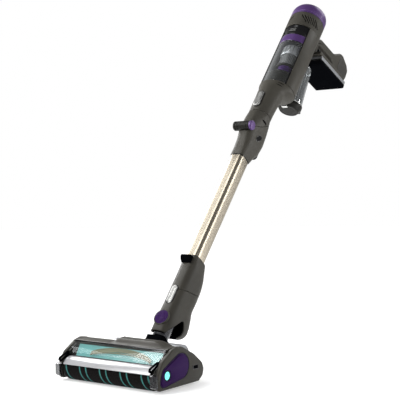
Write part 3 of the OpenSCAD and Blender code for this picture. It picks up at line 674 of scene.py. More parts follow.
def makeCyclone(c):
    # cradle behind the window, and the narrow dark channel that edges it on each side
    softened("body_cradle", 0.5, taupe)
    out, edge, thick = c["channel"]
    edge = math.radians(edge)
    line = np.linspace(812, 1016, 40)
    angle = np.linspace(0, 2 * math.pi, 12, endpoint=False)[:, None]
    for side, name in ((-1, "channelLeft"), (1, "channelRight")):
        x = side * (out * math.sin(edge)) + thick * np.cos(angle) + 0 * line
        y = axisY - out * math.cos(edge) + thick * np.sin(angle) + 0 * line
        Shape().grid(np.stack([x, y, line + 0 * x], -1).transpose(1, 0, 2), False, True, True).piece(
            name, "hand_unit", gloss, "gloss_black")
    # clear window and what stands inside it
    sectorShell(Shape(), c["inner"], c["outer"], c["low"], c["high"], c["arc"]).piece(
        "cycloneWindow", "hand_unit", clear, "clear_plastic", ["cyclone_window"], 50)
    ringPiece("cycloneBase", darkPart, c["base"], [0.5, 1, 2, 1, 1, 2, 1], stands=["cyclone_base"],
              slot="dark_plastic", limit=cupFront)
    ringPiece("baseSeal", gloss, c["seal"], 1.2, slot="gloss_black", limit=cupFront)
    cone = dense(c["cone"], 1.2)
    cone[:, 0] += 0.5 * np.sin((cone[:, 1] - 856) * 0.9)
    cone = np.vstack([cone, [(12, 889.6), (12, 856.4)]])
    Shape().grid(turned(cone, axisY, limitY=cupFront), True, True).piece(
        "dirtCone", "hand_unit", purpleDeep, "shroud_mesh", (), 60)
    skin, inside, low, high = c["mesh"]
    Shape().grid(turned(dense([(skin, low), (skin, high)], 2), axisY, limitY=cupFront), False, True).grid(
        turned([(inside, high), (inside, low)], axisY, limitY=cupFront), False, True).piece(
        "meshShroud", "hand_unit", meshSteel, "shroud_mesh", ["cyclone_shroud"])
    ringPiece("shroudCollar", greyTrim, c["collar"], [0.5, 2, 3, 1, 0.5], slot="shroud_mesh", limit=cupFront)
    ringPiece("shroudSkirt", darkPart, c["skirt"], 1.0, slot="dark_plastic", limit=cupFront)
    fins = Shape()
    for k in range(c["fins"]):
        points = radialBar(rounded(c["fin"], 0.6, 2), 360 / c["fins"] * k + 10, 1.0, axisY)
        if points[..., 1].max() < 44:  # the cradle stands behind this
            fins.grid(points, False, True, True)
    fins.piece("shroudFins", "hand_unit", silver, "silver_trim")


def radialBar(section, degrees, wide, axis):
    # section of (radius, z) carried across its own plane: x = r sin a + t cos a, y = axis - r cos a + t sin a
    a = math.radians(degrees)
    t = np.array([-wide / 2, wide / 2])[:, None]
    x = section[:, 0] * math.sin(a) + t * math.cos(a)
    y = axis - section[:, 0] * math.cos(a) + t * math.sin(a)
    return np.stack([x, y, section[:, 1] + 0 * x], -1)


panel = {"band": [(41.5, 958.6), (46.1, 958.6), (46.1, 983.4), (41.5, 983.4)], "seals": (958.1, 984.2),
         "bezel": [(42.4, 985.2), (45.8, 985.2), (44.8, 992), (44.2, 1001), (44.8, 1010), (46.1, 1017.8),
                   (42.4, 1017.8)],
         "keys": ((998, 1.6), (1004, 0.8)), "keyArc": 12}


def makePanel(p):
    # purple band between two dark seals, then the glossy recess with its two small keys
    ringPiece("purpleBand", purple, p["band"], [0.5, 1.6, 1.6, 0.5], stands=["purple_band"],
              slot="purple_plastic")
    seals = Shape()
    for z in p["seals"]:
        section = rounded([(43, z - 1.0), (46.25, z - 1.0), (46.25, z + 1.0), (43, z + 1.0)], 0.9)
        seals.grid(turned(section, axisY), True, True)
    seals.piece("bandSeals", "hand_unit", gloss, "gloss_black")
    ringPiece("controlBezel", gloss, p["bezel"], [0.5, 1, 4, 6, 4, 1, 0.5], stands=["control_bezel"],
              slot="gloss_black")
    keys = Shape()
    a = np.radians(np.linspace(-p["keyArc"], p["keyArc"], 30))
    for z, half in p["keys"]:
        ring = rounded([(-half, 0), (half, 0), (half, 1.2), (-half, 1.2)], min(0.5, half / 2), 2)
        r = 44.6 + ring[:, 1][:, None] + 0 * a
        keys.grid(np.stack([r * np.sin(a), axisY - r * np.cos(a), z + ring[:, 0][:, None] + 0 * r], -1)
                  .transpose(1, 0, 2), False, True, True)
    keys.piece("controlKeys", "hand_unit", buttonSilver, "silver_trim")


# inlet sections: z, width, front, rear, power
inlet = {"keys": [(700, 60, -26, 34, 2.0), (735, 61.5, -26, 36, 2.0), (770, 66, -25.4, 41, 2.0),
                  (790, 72, -24.4, 48, 2.0), (803, 92, -22.6, 69, 2.0), (810, 98, -22, 76, 2.0)],
         "low": 700.2, "high": 809.8, "wall": 3, "bore": 16.2, "slots": ((797, 26), (803.5, 22))}


def makeInlet(n):
    loftShell(Shape(), n["keys"], lambda a: n["low"] + 0 * a, lambda a: n["high"] + 0 * a, n["wall"], 1.2,
              64, 128, n["bore"], cupFront).piece(
        "inletShell", "hand_unit", taupe, "taupe_shell", ["inlet_shell"], 55)
    # thin black strips along each slot, just proud of the skin: painted shade in the slot openings
    slots = Shape()
    keys = np.array(n["keys"], float)
    for z, span in n["slots"]:
        a = np.radians(np.linspace(34, 34 + span, 30))
        ring = np.linspace(0, 2 * math.pi, 10, endpoint=False)[:, None]
        wide = 1.5 * np.sin(np.linspace(0.2, math.pi - 0.2, 30))
        width, front, rear = (smoothCurve(np.array([z]), keys, k) for k in (1, 2, 3))
        r = width / 2 - 0.6 + 0.9 * np.cos(ring) + 0 * a
        slots.grid(np.stack([r * np.sin(a), (front + rear) / 2 - r * np.cos(a),
                             z + wide * np.sin(ring) + 0 * r], -1).transpose(1, 0, 2), False, True, True)
    slots.piece("inletSlotShade", "hand_unit", blackPart, "black_plastic")
    domedButton(Shape(), 9, 50, -31.6, 6.2, 2.6, 736, 1.4).piece(
        "wandButton", "wand_release", buttonSilver, "silver_trim", ["wand_button"], 50)
    buttonRing(10.2, 52.4, -26.9, 736, "wandButtonSeat", "hand_unit")


def buttonRing(radius, length, face, z0, name, body):
    # thin dark frame round a button: a capsule band with a round section
    a = np.linspace(0, 2 * math.pi, 10, endpoint=False)
    x, z = capsuleRings(radius, length, 1.0 - 1.0 * np.cos(a))
    y = face - 0.8 * np.sin(a)[:, None] + 0 * x
    Shape().grid(np.stack([x, y, z + z0], -1), True, True).piece(name, body, gloss, "gloss_black")


def makeCup(c):
    # clear cup with a domed top, its dark inner ribs, lid with a bright rim, spine and latch
    outer = rounded(c["outer"], [0, 0, 9, 0], 10, False)
    inner = rounded(c["inner"], [0, 7, 0], 8, False)
    mouth = [c["outer"][0], c["inner"][-1]]
    Shape(onCup).grid(turned(np.vstack([dense(outer, 4), dense(inner, 4)]), 0), False, True).grid(
        turned(mouth, 0), False, True).piece(
        "dustCup", "cup", clearGrey, "clear_plastic", ["dust_cup"], 50)
    ribs = Shape(onCup)
    for degrees, wide in c["ribs"]:
        ribs.grid(radialBar(rounded(c["rib"], 0.8, 2), degrees, wide, 0), False, True, True)
    ribs.piece("cupRibs", "cup", darkPart, "dark_plastic")
    Shape(onCup).grid(turned(rounded(c["core"], 1), 0, count=64), True, True).piece(
        "cupCore", "cup", greyTrim, "silver_trim")
    softened("cup_spine", 1.0, darkPart)
    lid = dense(rounded(c["lid"], [0, 4, 2.5, 0.9, 0.5, 1, 0], 6, False), 1.5)
    lid[:, 1] += 0.7 * np.exp(-((lid[:, 0] - 18) / 1.2) ** 2) * (lid[:, 1] < -18)
    lugs = Shape(onCup).grid(turned(lid, 0), False, True)
    plate(lugs, np.array(c["lug"]), -4.8, 4.8, 0.8)
    lugs.piece("cupLid", "lid", darkPart, "dark_plastic", ["cup_lid"], 50)
    Shape(onCup).grid(turned(rounded(c["rim"], 0.7), 0), True, True).piece(
        "lidRim", "lid", silver, "silver_trim")
    softened("cup_latch", 0.8, silver)


handle = {"outline": [(60, 1001), (60, 1064), (80, 1066), (96, 1079), (170, 1100), (180, 1108),
                      (203, 1133), (216, 1137), (249, 1131), (264, 1120), (267, 1090), (240, 1056),
                      (232, 1052), (232, 1041.6), (82, 999), (70, 997)],
          "radii": [3, 3, 10, 16, 24, 10, 18, 10, 14, 14, 20, 14, 8, 4, 4, 3],
          "hole": [(88, 1023), (88, 1050), (100, 1056), (166, 1075), (182, 1070), (176, 1047)],
          "holeRadii": [8, 8, 10, 12, 8, 8], "half": 16, "edge": 5.5,
          "saddle": [(70, 1000), (70, 1052), (82, 1052), (90, 1026), (84, 1002)],
          "inlay": [(205, 1119), (216, 1127), (247, 1122), (256, 1114), (258, 1092), (236, 1062),
                    (222, 1060), (206, 1086)]}


def meetHousing(shape, gap, top=1e9):
    # pushes points below top back to the round housing's skin: y = axis + sqrt(r^2 - x^2) - gap
    for k, points in enumerate(shape.verts):
        local = toWand(points)
        skin = axisY + np.sqrt(np.maximum(housing["outer"] ** 2 - local[:, 0] ** 2, 0)) - gap
        low = (local[:, 2] < top) & (local[:, 1] < skin)
        local[low, 1] = skin[low]
        shape.verts[k] = onWand(local)


def makeHandle(h):
    shape = Shape()
    plate(shape, dense(rounded(h["outline"], h["radii"], 7), 3, True), -h["half"], h["half"], h["edge"],
          [dense(rounded(h["hole"], h["holeRadii"], 7), 3, True)], 7)
    meetHousing(shape, 0.4, 1067.2)
    shape.piece("handleShell", "hand_unit", taupe, "taupe_shell", ["handle_shell"], 60)
    saddle = Shape()
    plate(saddle, rounded(h["saddle"], 4, 5), -22, 22, 4)
    meetHousing(saddle, 0.3)
    saddle.piece("handleSaddle", "hand_unit", taupe, "taupe_shell", (), 60)
    inlays = Shape()
    for x0, x1 in ((14.6, 16.6), (-16.6, -14.6)):
        plate(inlays, rounded(h["inlay"], 9, 6), x0, x1, 0.9)
    inlays.piece("gripInlays", "hand_unit", taupeDark, "taupe_shell")
    softened("trigger", 1.2, blackPart)
    softened("power_button", 1.0, blackPart)


# y and z on the rail, which hangs under the handle at a slant
battery = {"place": (90, 1003, 15.5), "half": 44,
           "rail": [(-12, 0.5), (139.6, 0.5), (139.6, 9.2), (-12, 9.2)],
           "neck": [(10, 8.8), (128, 8.8), (124, 13.5), (16, 13.5)],
           "pack": [(-4, -9.2), (146, -9.2), (146, -19.5), (142, -23), (6, -23), (-4, -13)],
           "seam": [(-4.3, -13.4), (146.2, -13.4), (146.2, -12.4), (-4.3, -12.4)],
           "trim": [(-2, -8.9), (146, -8.9), (146, -0.1), (-2, -0.1)]}


def onRail(points):
    return onWand(tilted(points, *battery["place"]))


def makeBattery(b):
    half = b["half"]
    rail = Shape(onRail)
    plate(rail, rounded(b["rail"], [1, 2, 2, 2], 4), -half, half, 2.2)
    plate(rail, rounded(b["neck"], [1, 1, 3, 3], 4), -26, 26, 3)
    rail.piece("batteryRail", "hand_unit", taupe, "taupe_shell", (), 50)
    pack = Shape(onRail)
    plate(pack, dense(rounded(b["pack"], [1, 1, 3, 3, 5, 3], 5), 4, True), -half, half, 3)
    pack.piece("batteryPack", "battery_pack", blackPart, "black_plastic", ["battery"], 50)
    seam = Shape(onRail)
    plate(seam, rounded(b["seam"], 0.3, 2), -half - 0.2, half + 0.2, 0.3)
    seam.piece("batterySeam", "battery_pack", darkPart, "dark_plastic")
    trim = Shape(onRail)
    plate(trim, rounded(b["trim"], 1.6, 4), -half - 0.5, half + 0.5, 1.4)
    trim.piece("batteryTrim", "battery_pack", greyTrim, "silver_trim", ["battery_trim"], 50)
    softened("battery_button", 0.8, darkPart)


makeHousing(housing)
makeCap(cap)
makeCyclone(cyclone)
makePanel(panel)
makeInlet(inlet)
makeCup(cup)
makeHandle(handle)
makeBattery(battery)
print("hand unit made")


# sections of the neck and of the folding joint: z, width, front, rear, power
neck = {"keys": [(50, 42, -23.2, 16, 3.0), (62, 46, -23.6, 38, 3.0), (74, 48, -24, 54, 3.1),
                 (86, 48, -24, 63, 3.2), (104, 46, -24, 64, 3.2), (120, 45, -23.5, 59, 3.2),
                 (136, 44, -23, 52.5, 3.2), (160, 44, -23, 52, 3.2), (204, 44, -23, 49, 3.2),
                 (220, 44, -23.2, 44, 3.2), (236, 43.6, -23.4, 35, 3.4), (252, 42, -23.4, 24.4, 4.5)],
        "seam": 166, "slope": math.tan(math.radians(19)), "tongue": 51, "lobe": 62,
        "arch": {"at": 20, "half": 25, "top": 104, "rise": 42, "power": 1.35},
        "dial": 84, "button": 144, "hose": (46, 96)}
joint = {"keys": [(557, 39, -21.8, 22, 4.6), (580, 40.5, -22.6, 31, 4.0), (601, 43, -25.2, 42, 3.4),
                  (618, 44, -29.4, 46, 3.2), (633, 44, -34, 48, 3.2), (647, 44, -33.4, 47, 3.2),
                  (685, 54, -29, 39, 2.4), (699.6, 59.4, -26, 33.6, 2.0)],
         "seam": 635, "slope": math.tan(math.radians(37)), "barrel": 12, "barrelAt": (-36, 635),
         "well": (13.5, 7.2), "wellAt": (10, 632), "wellTurn": 53}
tube = {"low": 224, "high": 580, "width": 36, "half": 20.5, "power": 4.2, "wall": 1.8, "sealGrow": 0.9,
        "seals": (("tubeFootSeal", 251.6, 253.4), ("tubeHeadSeal", 555.6, 557.4))}


def sideY(angle, keys, z):
    # how far back the skin stands at each angle, at height z
    keys = np.array(keys, float)
    column = [smoothCurve(np.array([z]), keys, k) for k in (1, 2, 3, 4)]
    return superRect(angle, *column)[1]


def neckSeam(angle):
    return neck["seam"] + neck["slope"] * sideY(angle, neck["keys"], neck["seam"])


def jointSeam(angle):
    return joint["seam"] + joint["slope"] * (sideY(angle, joint["keys"], 650) + 36)


def neckRim(angle):
    # low edge: a tongue at the front, a pointed arch at each side and a lobe at the back
    y = sideY(angle, neck["keys"], 80)
    arch = neck["arch"]
    t = np.clip((y - arch["at"]) / arch["half"], -1, 1)
    pointed = arch["top"] - arch["rise"] * np.abs(t) ** arch["power"]
    lobe = neck["lobe"] + np.clip(y - 45, 0, 20) * 0.62
    tongue = neck["tongue"] + 0 * y
    rim = np.where(y > 21, np.maximum(pointed, lobe), np.maximum(pointed, tongue))
    rim = np.where(t <= -1, tongue, rim)
    return np.where(t >= 1, lobe, rim)


def discPiece(name, profile, z0, body, material, slot, stands=(), count=96):
    # profile of (radius, y) turned about an axis that points to the wand's front
    profile = np.asarray(profile, float)
    a = np.linspace(0, 2 * math.pi, count, endpoint=False)
    r, y = profile[:, :1], profile[:, 1:] + 0 * a
    return Shape().grid(np.stack([r * np.cos(a), y, z0 + r * np.sin(a)], -1), False, True).piece(
        name, body, material, slot, stands, 50)


def barrel(shape, x0, x1, radius, edge, at, count=72):
    # round bar across X with rounded ends: profile of (x, radius) turned about X
    profile = rounded([(x0, 0), (x0, radius), (x1, radius), (x1, 0)], [0, edge, edge, 0], 5, False)
    a = np.linspace(0, 2 * math.pi, count, endpoint=False)
    x, r = profile[:, :1] + 0 * a, profile[:, 1:]
    return shape.grid(np.stack([x, at[0] + r * np.cos(a), at[1] + r * np.sin(a)], -1), False, True)


def makeNeck(n):
    loftShell(Shape(), n["keys"], neckRim, neckSeam, 2.6, 0.9, 60, 220).piece(
        "neckShell", "neck", taupe, "taupe_shell", ["neck_shell"], 60)
    inner = [(z, w - 5.6, f + 2.8, r - 2.8, p) for z, w, f, r, p in n["keys"]]
    loftShell(Shape(), inner, lambda a: np.maximum(neckRim(a) - 3.4, 50), lambda a: 118 + 0 * a,
              2.4, 0.8, 30, 160).piece("neckLiner", "neck", blackPart, "black_plastic", (), 60)
    ringPiece("neckPlug", blackPart, [(11.4, 118), (15.5, 118), (15.5, 212), (11.4, 212)], [0.5, 0.5, 2, 1],
              "neck", slot="taupe_shell", axis=0)
    ringPiece("neckFloor", blackPart, [(11.3, 113), (20, 113), (20, 118), (11.3, 118)], 0.5, "neck",
              slot="taupe_shell", axis=0)
    rim = rounded([(17.2, -19.8), (19.2, -20), (19.2, -24.6), (17.8, -25.2), (16.9, -24.4)], 0.7, 4)
    discPiece("dialRim", np.vstack([rim, rim[:1]]), n["dial"], "dial", taupe, "silver_trim")
    face = dense(rounded([(17, -20), (17, -24.9), (12, -25.6), (0, -25.9)], [0, 1.2, 4, 0], 5, False), 0.7)
    face[:, 1] += 0.35 * np.cos(face[:, 0] * 2.4) * (face[:, 0] > 4) * (face[:, 0] < 15)
    discPiece("scentDial", face, n["dial"], "dial", purpleDeep, "purple_plastic", ["scent_dial"])
    domedButton(Shape(), 8.5, 48, -25.4, 5.6, 2.2, n["button"], 1.6).piece(
        "neckButton", "neck_release", buttonSilver, "silver_trim", ["neck_button"], 50)
    buttonRing(9.6, 50.2, -22.9, n["button"], "neckButtonSeat", "neck")
    # ribbed hose between the neck and the nozzle: r = 17.3 + 1.2 sin^3
    low, high = n["hose"]
    z = np.linspace(low, high, 180)
    skin = np.stack([17.3 + 1.2 * np.sin(z * 2 * math.pi / 4.6) ** 3, z], -1)
    Shape().grid(turned(np.vstack([skin, [(15.2, high), (15.2, low)]]), 0, count=96), True, True).piece(
        "neckHose", "neck_fork", hoseRubber, "hose_rubber", ["neck_hose"], 60)
    softened("neck_yoke", 1.4, blackPart)


def makeTube(t):
    loftShell(Shape(), neck["keys"], lambda a: neckSeam(a) + 0.5, lambda a: 251.8 + 0 * a, 2.6, 0.9, 50,
              180).piece("wandCollar", "wand_lower", taupe, "taupe_shell", ["wand_collar"], 60)
    ringPiece("collarSocket", blackPart, [(16.1, 172), (18.2, 172), (18.2, 214), (12, 214), (12, 212.6),
                                          (16.1, 212.6)], 0.4, "wand_lower", slot="taupe_shell", axis=0)
    softened("collar_hook", 1.6, blackPart)
    width, half, power, grow = t["width"], t["half"], t["power"], t["sealGrow"]
    keys = [(z, width, -half, half, power) for z in (t["low"], 400, t["high"])]
    loftShell(Shape(), keys, lambda a: t["low"] + 0 * a, lambda a: t["high"] + 0 * a, t["wall"], 0.6, 8,
              160).piece("wandTube", "wand_lower", champagne, "champagne_tube", ["wand_tube"], 60)
    for name, low, high in t["seals"]:
        keys = [(z, width + 2 * grow, -half - grow, half + grow, power) for z in (low, high)]
        loftShell(Shape(), keys, lambda a: low + 0 * a, lambda a: high + 0 * a, grow + 0.2, 0.5, 4,
                  120).piece(name, "wand_lower", gloss, "black_plastic")


def makeJoint(j):
    loftShell(Shape(), j["keys"], lambda a: 557 + 0 * a, lambda a: jointSeam(a) - 0.3, 2.8, 1.0, 60,
              200).piece("jointLowerShell", "wand_lower", taupe, "taupe_shell", ["flex_lower_shell"], 60)
    loftShell(Shape(), j["keys"], lambda a: jointSeam(a) + 0.3, lambda a: 699.5 + 0 * a, 2.8, 1.0, 50,
              200).piece("jointUpperShell", "wand_upper", taupe, "taupe_shell", ["flex_upper_shell"], 60)
    ringPiece("jointThroat", blackPart, [(13.2, 676), (27, 676), (27, 680), (13.2, 680)], 0.5, "wand_upper",
              slot="black_plastic", axis=2)
    ringPiece("wandPlug", blackPart, [(13.2, 680), (15.5, 680), (15.5, 745.6), (13.2, 745.6)],
              [0.3, 0.3, 1.6, 0.6], "wand_upper", ["wand_plug"], "black_plastic", axis=0)
    # side windows of the joint: an oval well with a bright lip, over the ribbed bellows
    a = np.linspace(0, 2 * math.pi, 48, endpoint=False)
    long, wide = j["well"]
    turn = math.radians(j["wellTurn"])
    for side, name in ((-1, "jointWellLeft"), (1, "jointWellRight")):
        well, lip = Shape(), Shape()
        for shape, rings in ((well, [(1.0, 22.2), (0.93, 22.5), (0.82, 21.9), (0.6, 21.7), (0.2, 21.7)]),
                             (lip, [(1.1, 21.6), (1.08, 22.5), (1.0, 22.75), (0.96, 22.3)])):
            rows = []
            for scale, x in rings:
                p, q = long * scale * np.cos(a), wide * scale * np.sin(a)
                y = j["wellAt"][0] + p * math.cos(turn) - q * math.sin(turn)
                z = j["wellAt"][1] + p * math.sin(turn) + q * math.cos(turn)
                rows.append(np.stack([side * x + 0 * a, y, z], -1))
            shape.grid(np.array(rows), False, True, shape is well)
        well.piece(name, "wand_lower", gloss, "hose_rubber")
        lip.piece(name + "Lip", "wand_lower", taupeDark, "taupe_shell")
    at, radius = j["barrelAt"], j["barrel"]
    barrel(Shape(), -12.8, 12.8, radius, 0.8, at).piece("jointBarrel", "wand_lower", darkPart, "taupe_shell")
    knuckles = Shape()
    for x0, x1 in ((-18.9, -13.4), (13.4, 18.9)):
        barrel(knuckles, x0, x1, radius, 0.8, at)
    knuckles.piece("jointKnuckles", "wand_upper", darkPart, "taupe_shell")
    barrel(Shape(), 19.1, 27, radius, 2.6, at).piece(
        "jointCapRight", "wand_upper", purple, "purple_plastic", ["flex_caps"])
    barrel(Shape(), -27, -19.1, radius, 2.6, at).piece(
        "jointCapLeft", "wand_upper", darkPart, "purple_plastic", ["flex_caps"])
    z = np.linspace(586, 668, 200)
    ribs = np.stack([14.4 + 1.1 * np.sin(z * 2 * math.pi / 6) ** 3, z], -1)
    Shape().grid(turned(np.vstack([ribs, [(12, 668), (12, 586)]]), 6, count=80), True, True).piece(
        "jointBellows", "wand_lower", hoseRubber, "hose_rubber", ["flex_bellows"], 60)
    softened("flex_button", 1.6, darkPart)


# Floor nozzle, in world millimetres: outlines are (y, z) and carried across X
rollerAt, brushAt, lampAt = (-48.0, 24.0), (-4.0, 26.0), (-39.0, 32.0)


def circle(centre, radius, count=48):
    a = np.linspace(0, 2 * math.pi, count, endpoint=False)
    return np.stack([centre[0] + radius * np.cos(a), centre[1] + radius * np.sin(a)], -1)


def egg(grow, count=120):
    # outline round three circles: for each direction the circle that reaches furthest
    circles = np.array([(-49, 21, 11), (-38, 32, 18), (7, 44, 26)], float)
    a = np.linspace(0, 2 * math.pi, count, endpoint=False)
    normal = np.stack([np.cos(a), np.sin(a)], -1)
    reach = normal @ circles[:, :2].T + circles[:, 2]
    best = circles[np.argmax(reach, 1)]
    return dense(best[:, :2] + normal * (best[:, 2:] + grow), 2.5, True)


sides = {"outline": [(-66, 4), (-68, 36), (-53, 60), (-20, 80), (-4, 84), (14, 82), (52, 63), (80, 42),
                     (86, 28), (82, 14), (68, 4)],
         "radii": [8, 16, 20, 26, 12, 12, 26, 14, 12, 12, 8], "inside": 125, "outside": 134,
         "lamp": [(0, 135.5), (4, 135.4), (7, 134.9), (8.4, 134.0), (8.4, 131)],
         "lampRing": [(8.5, 132), (8.6, 135.2), (9.4, 135.6), (10.1, 135.0), (10.2, 131), (8.5, 131)],
         "latchWell": [(45.6, 30.6), (66.4, 30.6), (66.4, 39.4), (45.6, 39.4)]}


def makeSides(s):
    outline = dense(rounded(s["outline"], s["radii"], 7), 3, True)
    plates = Shape(onFloor)
    plate(plates, outline, -s["outside"], -s["inside"], 2.6)
    plate(plates, outline, s["inside"], s["outside"], 2.6, [egg(0.5)])
    plate(plates, egg(1.2), 129.2, 130.4, 0.2)
    plates.piece("sidePlates", "nozzle", taupe, "taupe_shell", ["side_plates"], 50)
    door = Shape(onFloor)
    plate(door, egg(0), 131.0, 134.1, 0.5, [circle(lampAt, 10.5)])
    plate(door, egg(-2.2), 133.8, 135.6, 1.5, [circle(lampAt, 11.0)])
    door.piece("rollerDoor", "door", purpleDeep, "purple_plastic", ["roller_door"], 50)
    seal = Shape(onFloor)
    plate(seal, egg(1.3), 133.7, 134.5, 0.3, [egg(0.3)])
    seal.piece("doorSeal", "nozzle", gloss, "gloss_black")
    a = np.linspace(0, 2 * math.pi, 64, endpoint=False)
    for rows, *finish in ((s["lamp"], "statusLight", "nozzle", teal, "teal_light", ["status_light"]),
                          (s["lampRing"], "statusRing", "nozzle", gloss, "gloss_black")):
        rows = dense(rows, 0.6)
        r, x = rows[:, :1], rows[:, 1:] + 0 * a
        points = np.stack([x, lampAt[0] + r * np.cos(a), lampAt[1] + r * np.sin(a)], -1)
        Shape(onFloor).grid(points, False, True).piece(*finish)
    softened("roller_latch", 0.8, blackPart)
    # flat gloss black patch just proud of the side plate behind the latch: painted shade for the latch's recess
    well = Shape(onFloor)
    plate(well, rounded(s["latchWell"], 1.5, 3), 133.2, 134.08, 0.2)
    well.piece("latchWell", "nozzle", gloss, "gloss_black")


roller = {"radius": 22.85, "length": 230.8, "shoulder": 5, "drawIn": 3.2, "nap": 0.16}
brush = {"half": 103.6, "fins": 6, "twist": 30,
         "blade": [(11.4, -0.10), (15, -0.07), (17.7, -0.035), (17.7, 0.035), (15, 0.07), (11.4, 0.10)]}


def makeRoller(s):
    # soft roller: radius over the angle, drawn in at both ends, with a faint nap
    rows, count = 300, 160
    u, v = np.linspace(0, 1, rows)[:, None], np.linspace(0, 2 * math.pi, count, endpoint=False)
    x = -s["length"] / 2 + s["length"] * u
    endIn = np.clip((s["length"] / 2 - np.abs(x)) / s["shoulder"], 0, 1)
    r = s["radius"] - s["drawIn"] * (1 - np.sqrt(1 - (1 - endIn) ** 2)) + 0 * v
    nap = s["nap"] * np.sin(x * 4.1 + 5 * np.sin(v * 9)) * np.sin(v * 37 + 3 * np.sin(x * 0.7))
    r = r - s["nap"] + nap
    points = np.stack([x + 0 * v, rollerAt[0] + r * np.cos(v), rollerAt[1] + r * np.sin(v)], -1)
    body = Shape(onFloor).grid(points, False, True)
    for edge in (points[0], points[-1]):
        middle = np.array([edge[0, 0], *rollerAt])
        body.grid(middle + (edge - middle) * np.linspace(1, 0.79, 4)[:, None, None], False, True)
    body.piece("rollerNap", "roller", pile, "roller_nap", ["roller_nap"], 80)
    softened("roller_core", 0.8, darkPart)


def makeBrush(b):
    fins = Shape(onFloor)
    barrel(fins, -107.9, 107.9, 11.9, 1.5, brushAt)
    barrel(fins, 107.6, 116.4, 6.4, 0.5, brushAt)
    x = np.linspace(-b["half"], b["half"], 120)
    for k in range(b["fins"]):
        # fin: a thin blade that winds a sixth of a turn along the brush
        a = math.radians(360 / b["fins"]) * k + x / b["half"] * math.radians(b["twist"])
        blade = np.array([np.stack([x, brushAt[0] + r * np.cos(a + s), brushAt[1] + r * np.sin(a + s)], -1)
                          for r, s in b["blade"]])
        fins.grid(blade.transpose(1, 0, 2), False, True, True)
    fins.piece("finBrush", "brush", finRubber, "fin_rubber", ["fin_brush"])


cover = {"front": [(-27, 78.5), (-24, 81), (8, 83), (33, 73.6), (33, 66), (6, 70), (-19, 66)],
         "frontRadii": [1.5, 5, 40, 1, 1, 10, 2],
         "rear": [(33, 73.4), (52, 65.6), (80, 45), (85, 30), (79, 27), (74, 42), (42, 62), (33, 65.8)],
         "rearRadii": [0.6, 20, 14, 3, 3, 12, 10, 0.6], "half": 124.6, "gap": 48.4,
         "slot": [(-12, 89.6), (14, 91), (14, 88.4), (-12, 87)],
         "hump": {"x0": -34.0, "x1": 116.0, "y0": -23.0, "y1": 33.0, "rise": 9.0, "soft": 22.0}}


def softStep(t):
    # 3t^2 - 2t^3, held at 0 and 1
    t = np.clip(t, 0, 1)
    return t * t * (3 - 2 * t)


def makeCover(c):
    front = dense(rounded(c["front"], c["frontRadii"], 8), 2.0, True)
    half, hump = c["half"], c["hump"]
    ends = 1.4 * (1 - np.cos(np.linspace(0, math.pi / 2, 5)))
    xs = np.concatenate([-half + ends, np.linspace(-120, 120, 121), half - ends[::-1]])
    y, z = front[:, 0] + 0 * xs[:, None], front[:, 1] + 0 * xs[:, None]
    x = xs[:, None] + 0 * y
    # the hump lifts the upper skin: a product of soft steps in from its four sides
    lift = (softStep((x - hump["x0"]) / hump["soft"]) * softStep((hump["x1"] - x) / (hump["soft"] + 14))
            * softStep((y - hump["y0"]) / 14) * softStep((hump["y1"] + 6 - y) / 26))
    z = z + lift * hump["rise"] * (z > 71.5)
    points = np.stack([x, y, z], -1)
    shape = Shape(onFloor).grid(points, False, True, False)
    shape.flat([points[0]])
    shape.flat([points[-1]])
    rear = dense(rounded(c["rear"], c["rearRadii"], 8), 3, True)
    for x0, x1 in ((-half, -c["gap"]), (c["gap"], half)):
        plate(shape, rear, x0, x1, 1.2)
    shape.piece("nozzleCover", "nozzle", taupe, "taupe_shell", ["nozzle_top_cover"], 50)
    # thin gloss black strip through the hump's top: painted shade in its slot
    slot = Shape(onFloor)
    plate(slot, rounded(c["slot"], 0.4, 2), -18.5, -16.8, 0.4)
    slot.piece("humpSlotShade", "nozzle", gloss, "gloss_black")


def bowed(low, high, bulge, thick, rows=14):
    # cross-section of a sheet from low to high that bows outwards: offset = bulge * 4t(1-t)
    low, high = np.array(low, float), np.array(high, float)
    along = (high - low) / np.linalg.norm(high - low)
    out = np.array([-along[1], along[0]])
    t = np.linspace(0, 1, rows)[:, None]
    middle = low + (high - low) * t + out * bulge * 4 * t * (1 - t)
    return np.vstack([middle, (middle - out * thick)[::-1]])


front = {"windowLow": (-47.2, 50.4), "windowHigh": (-28.4, 79), "windowHalf": 124.4,
         "stripArc": (92, 153), "stripHalf": 116.4, "stripSkin": (26.7, 24.6),
         "sealHigh": [(-29.6, 78.2), (-27.2, 77.6), (-25.6, 80.6), (-28.2, 81)],
         "sealLow": [(-48.8, 50.2), (-46.8, 49.6), (-46.2, 51.6), (-48.2, 52)],
         "lampHalf": 113, "ribMiddle": 8, "ribHalf": 88,
         "loop": [(-79.2, 43.6), (-77.2, 50.6), (-52, 60.6), (-48.4, 57), (-50.5, 52.6), (-73, 41)],
         "loopHole": [(-76.2, 45.2), (-75.2, 48.4), (-53, 57.4), (-52.4, 54.4), (-72.6, 43.8)]}


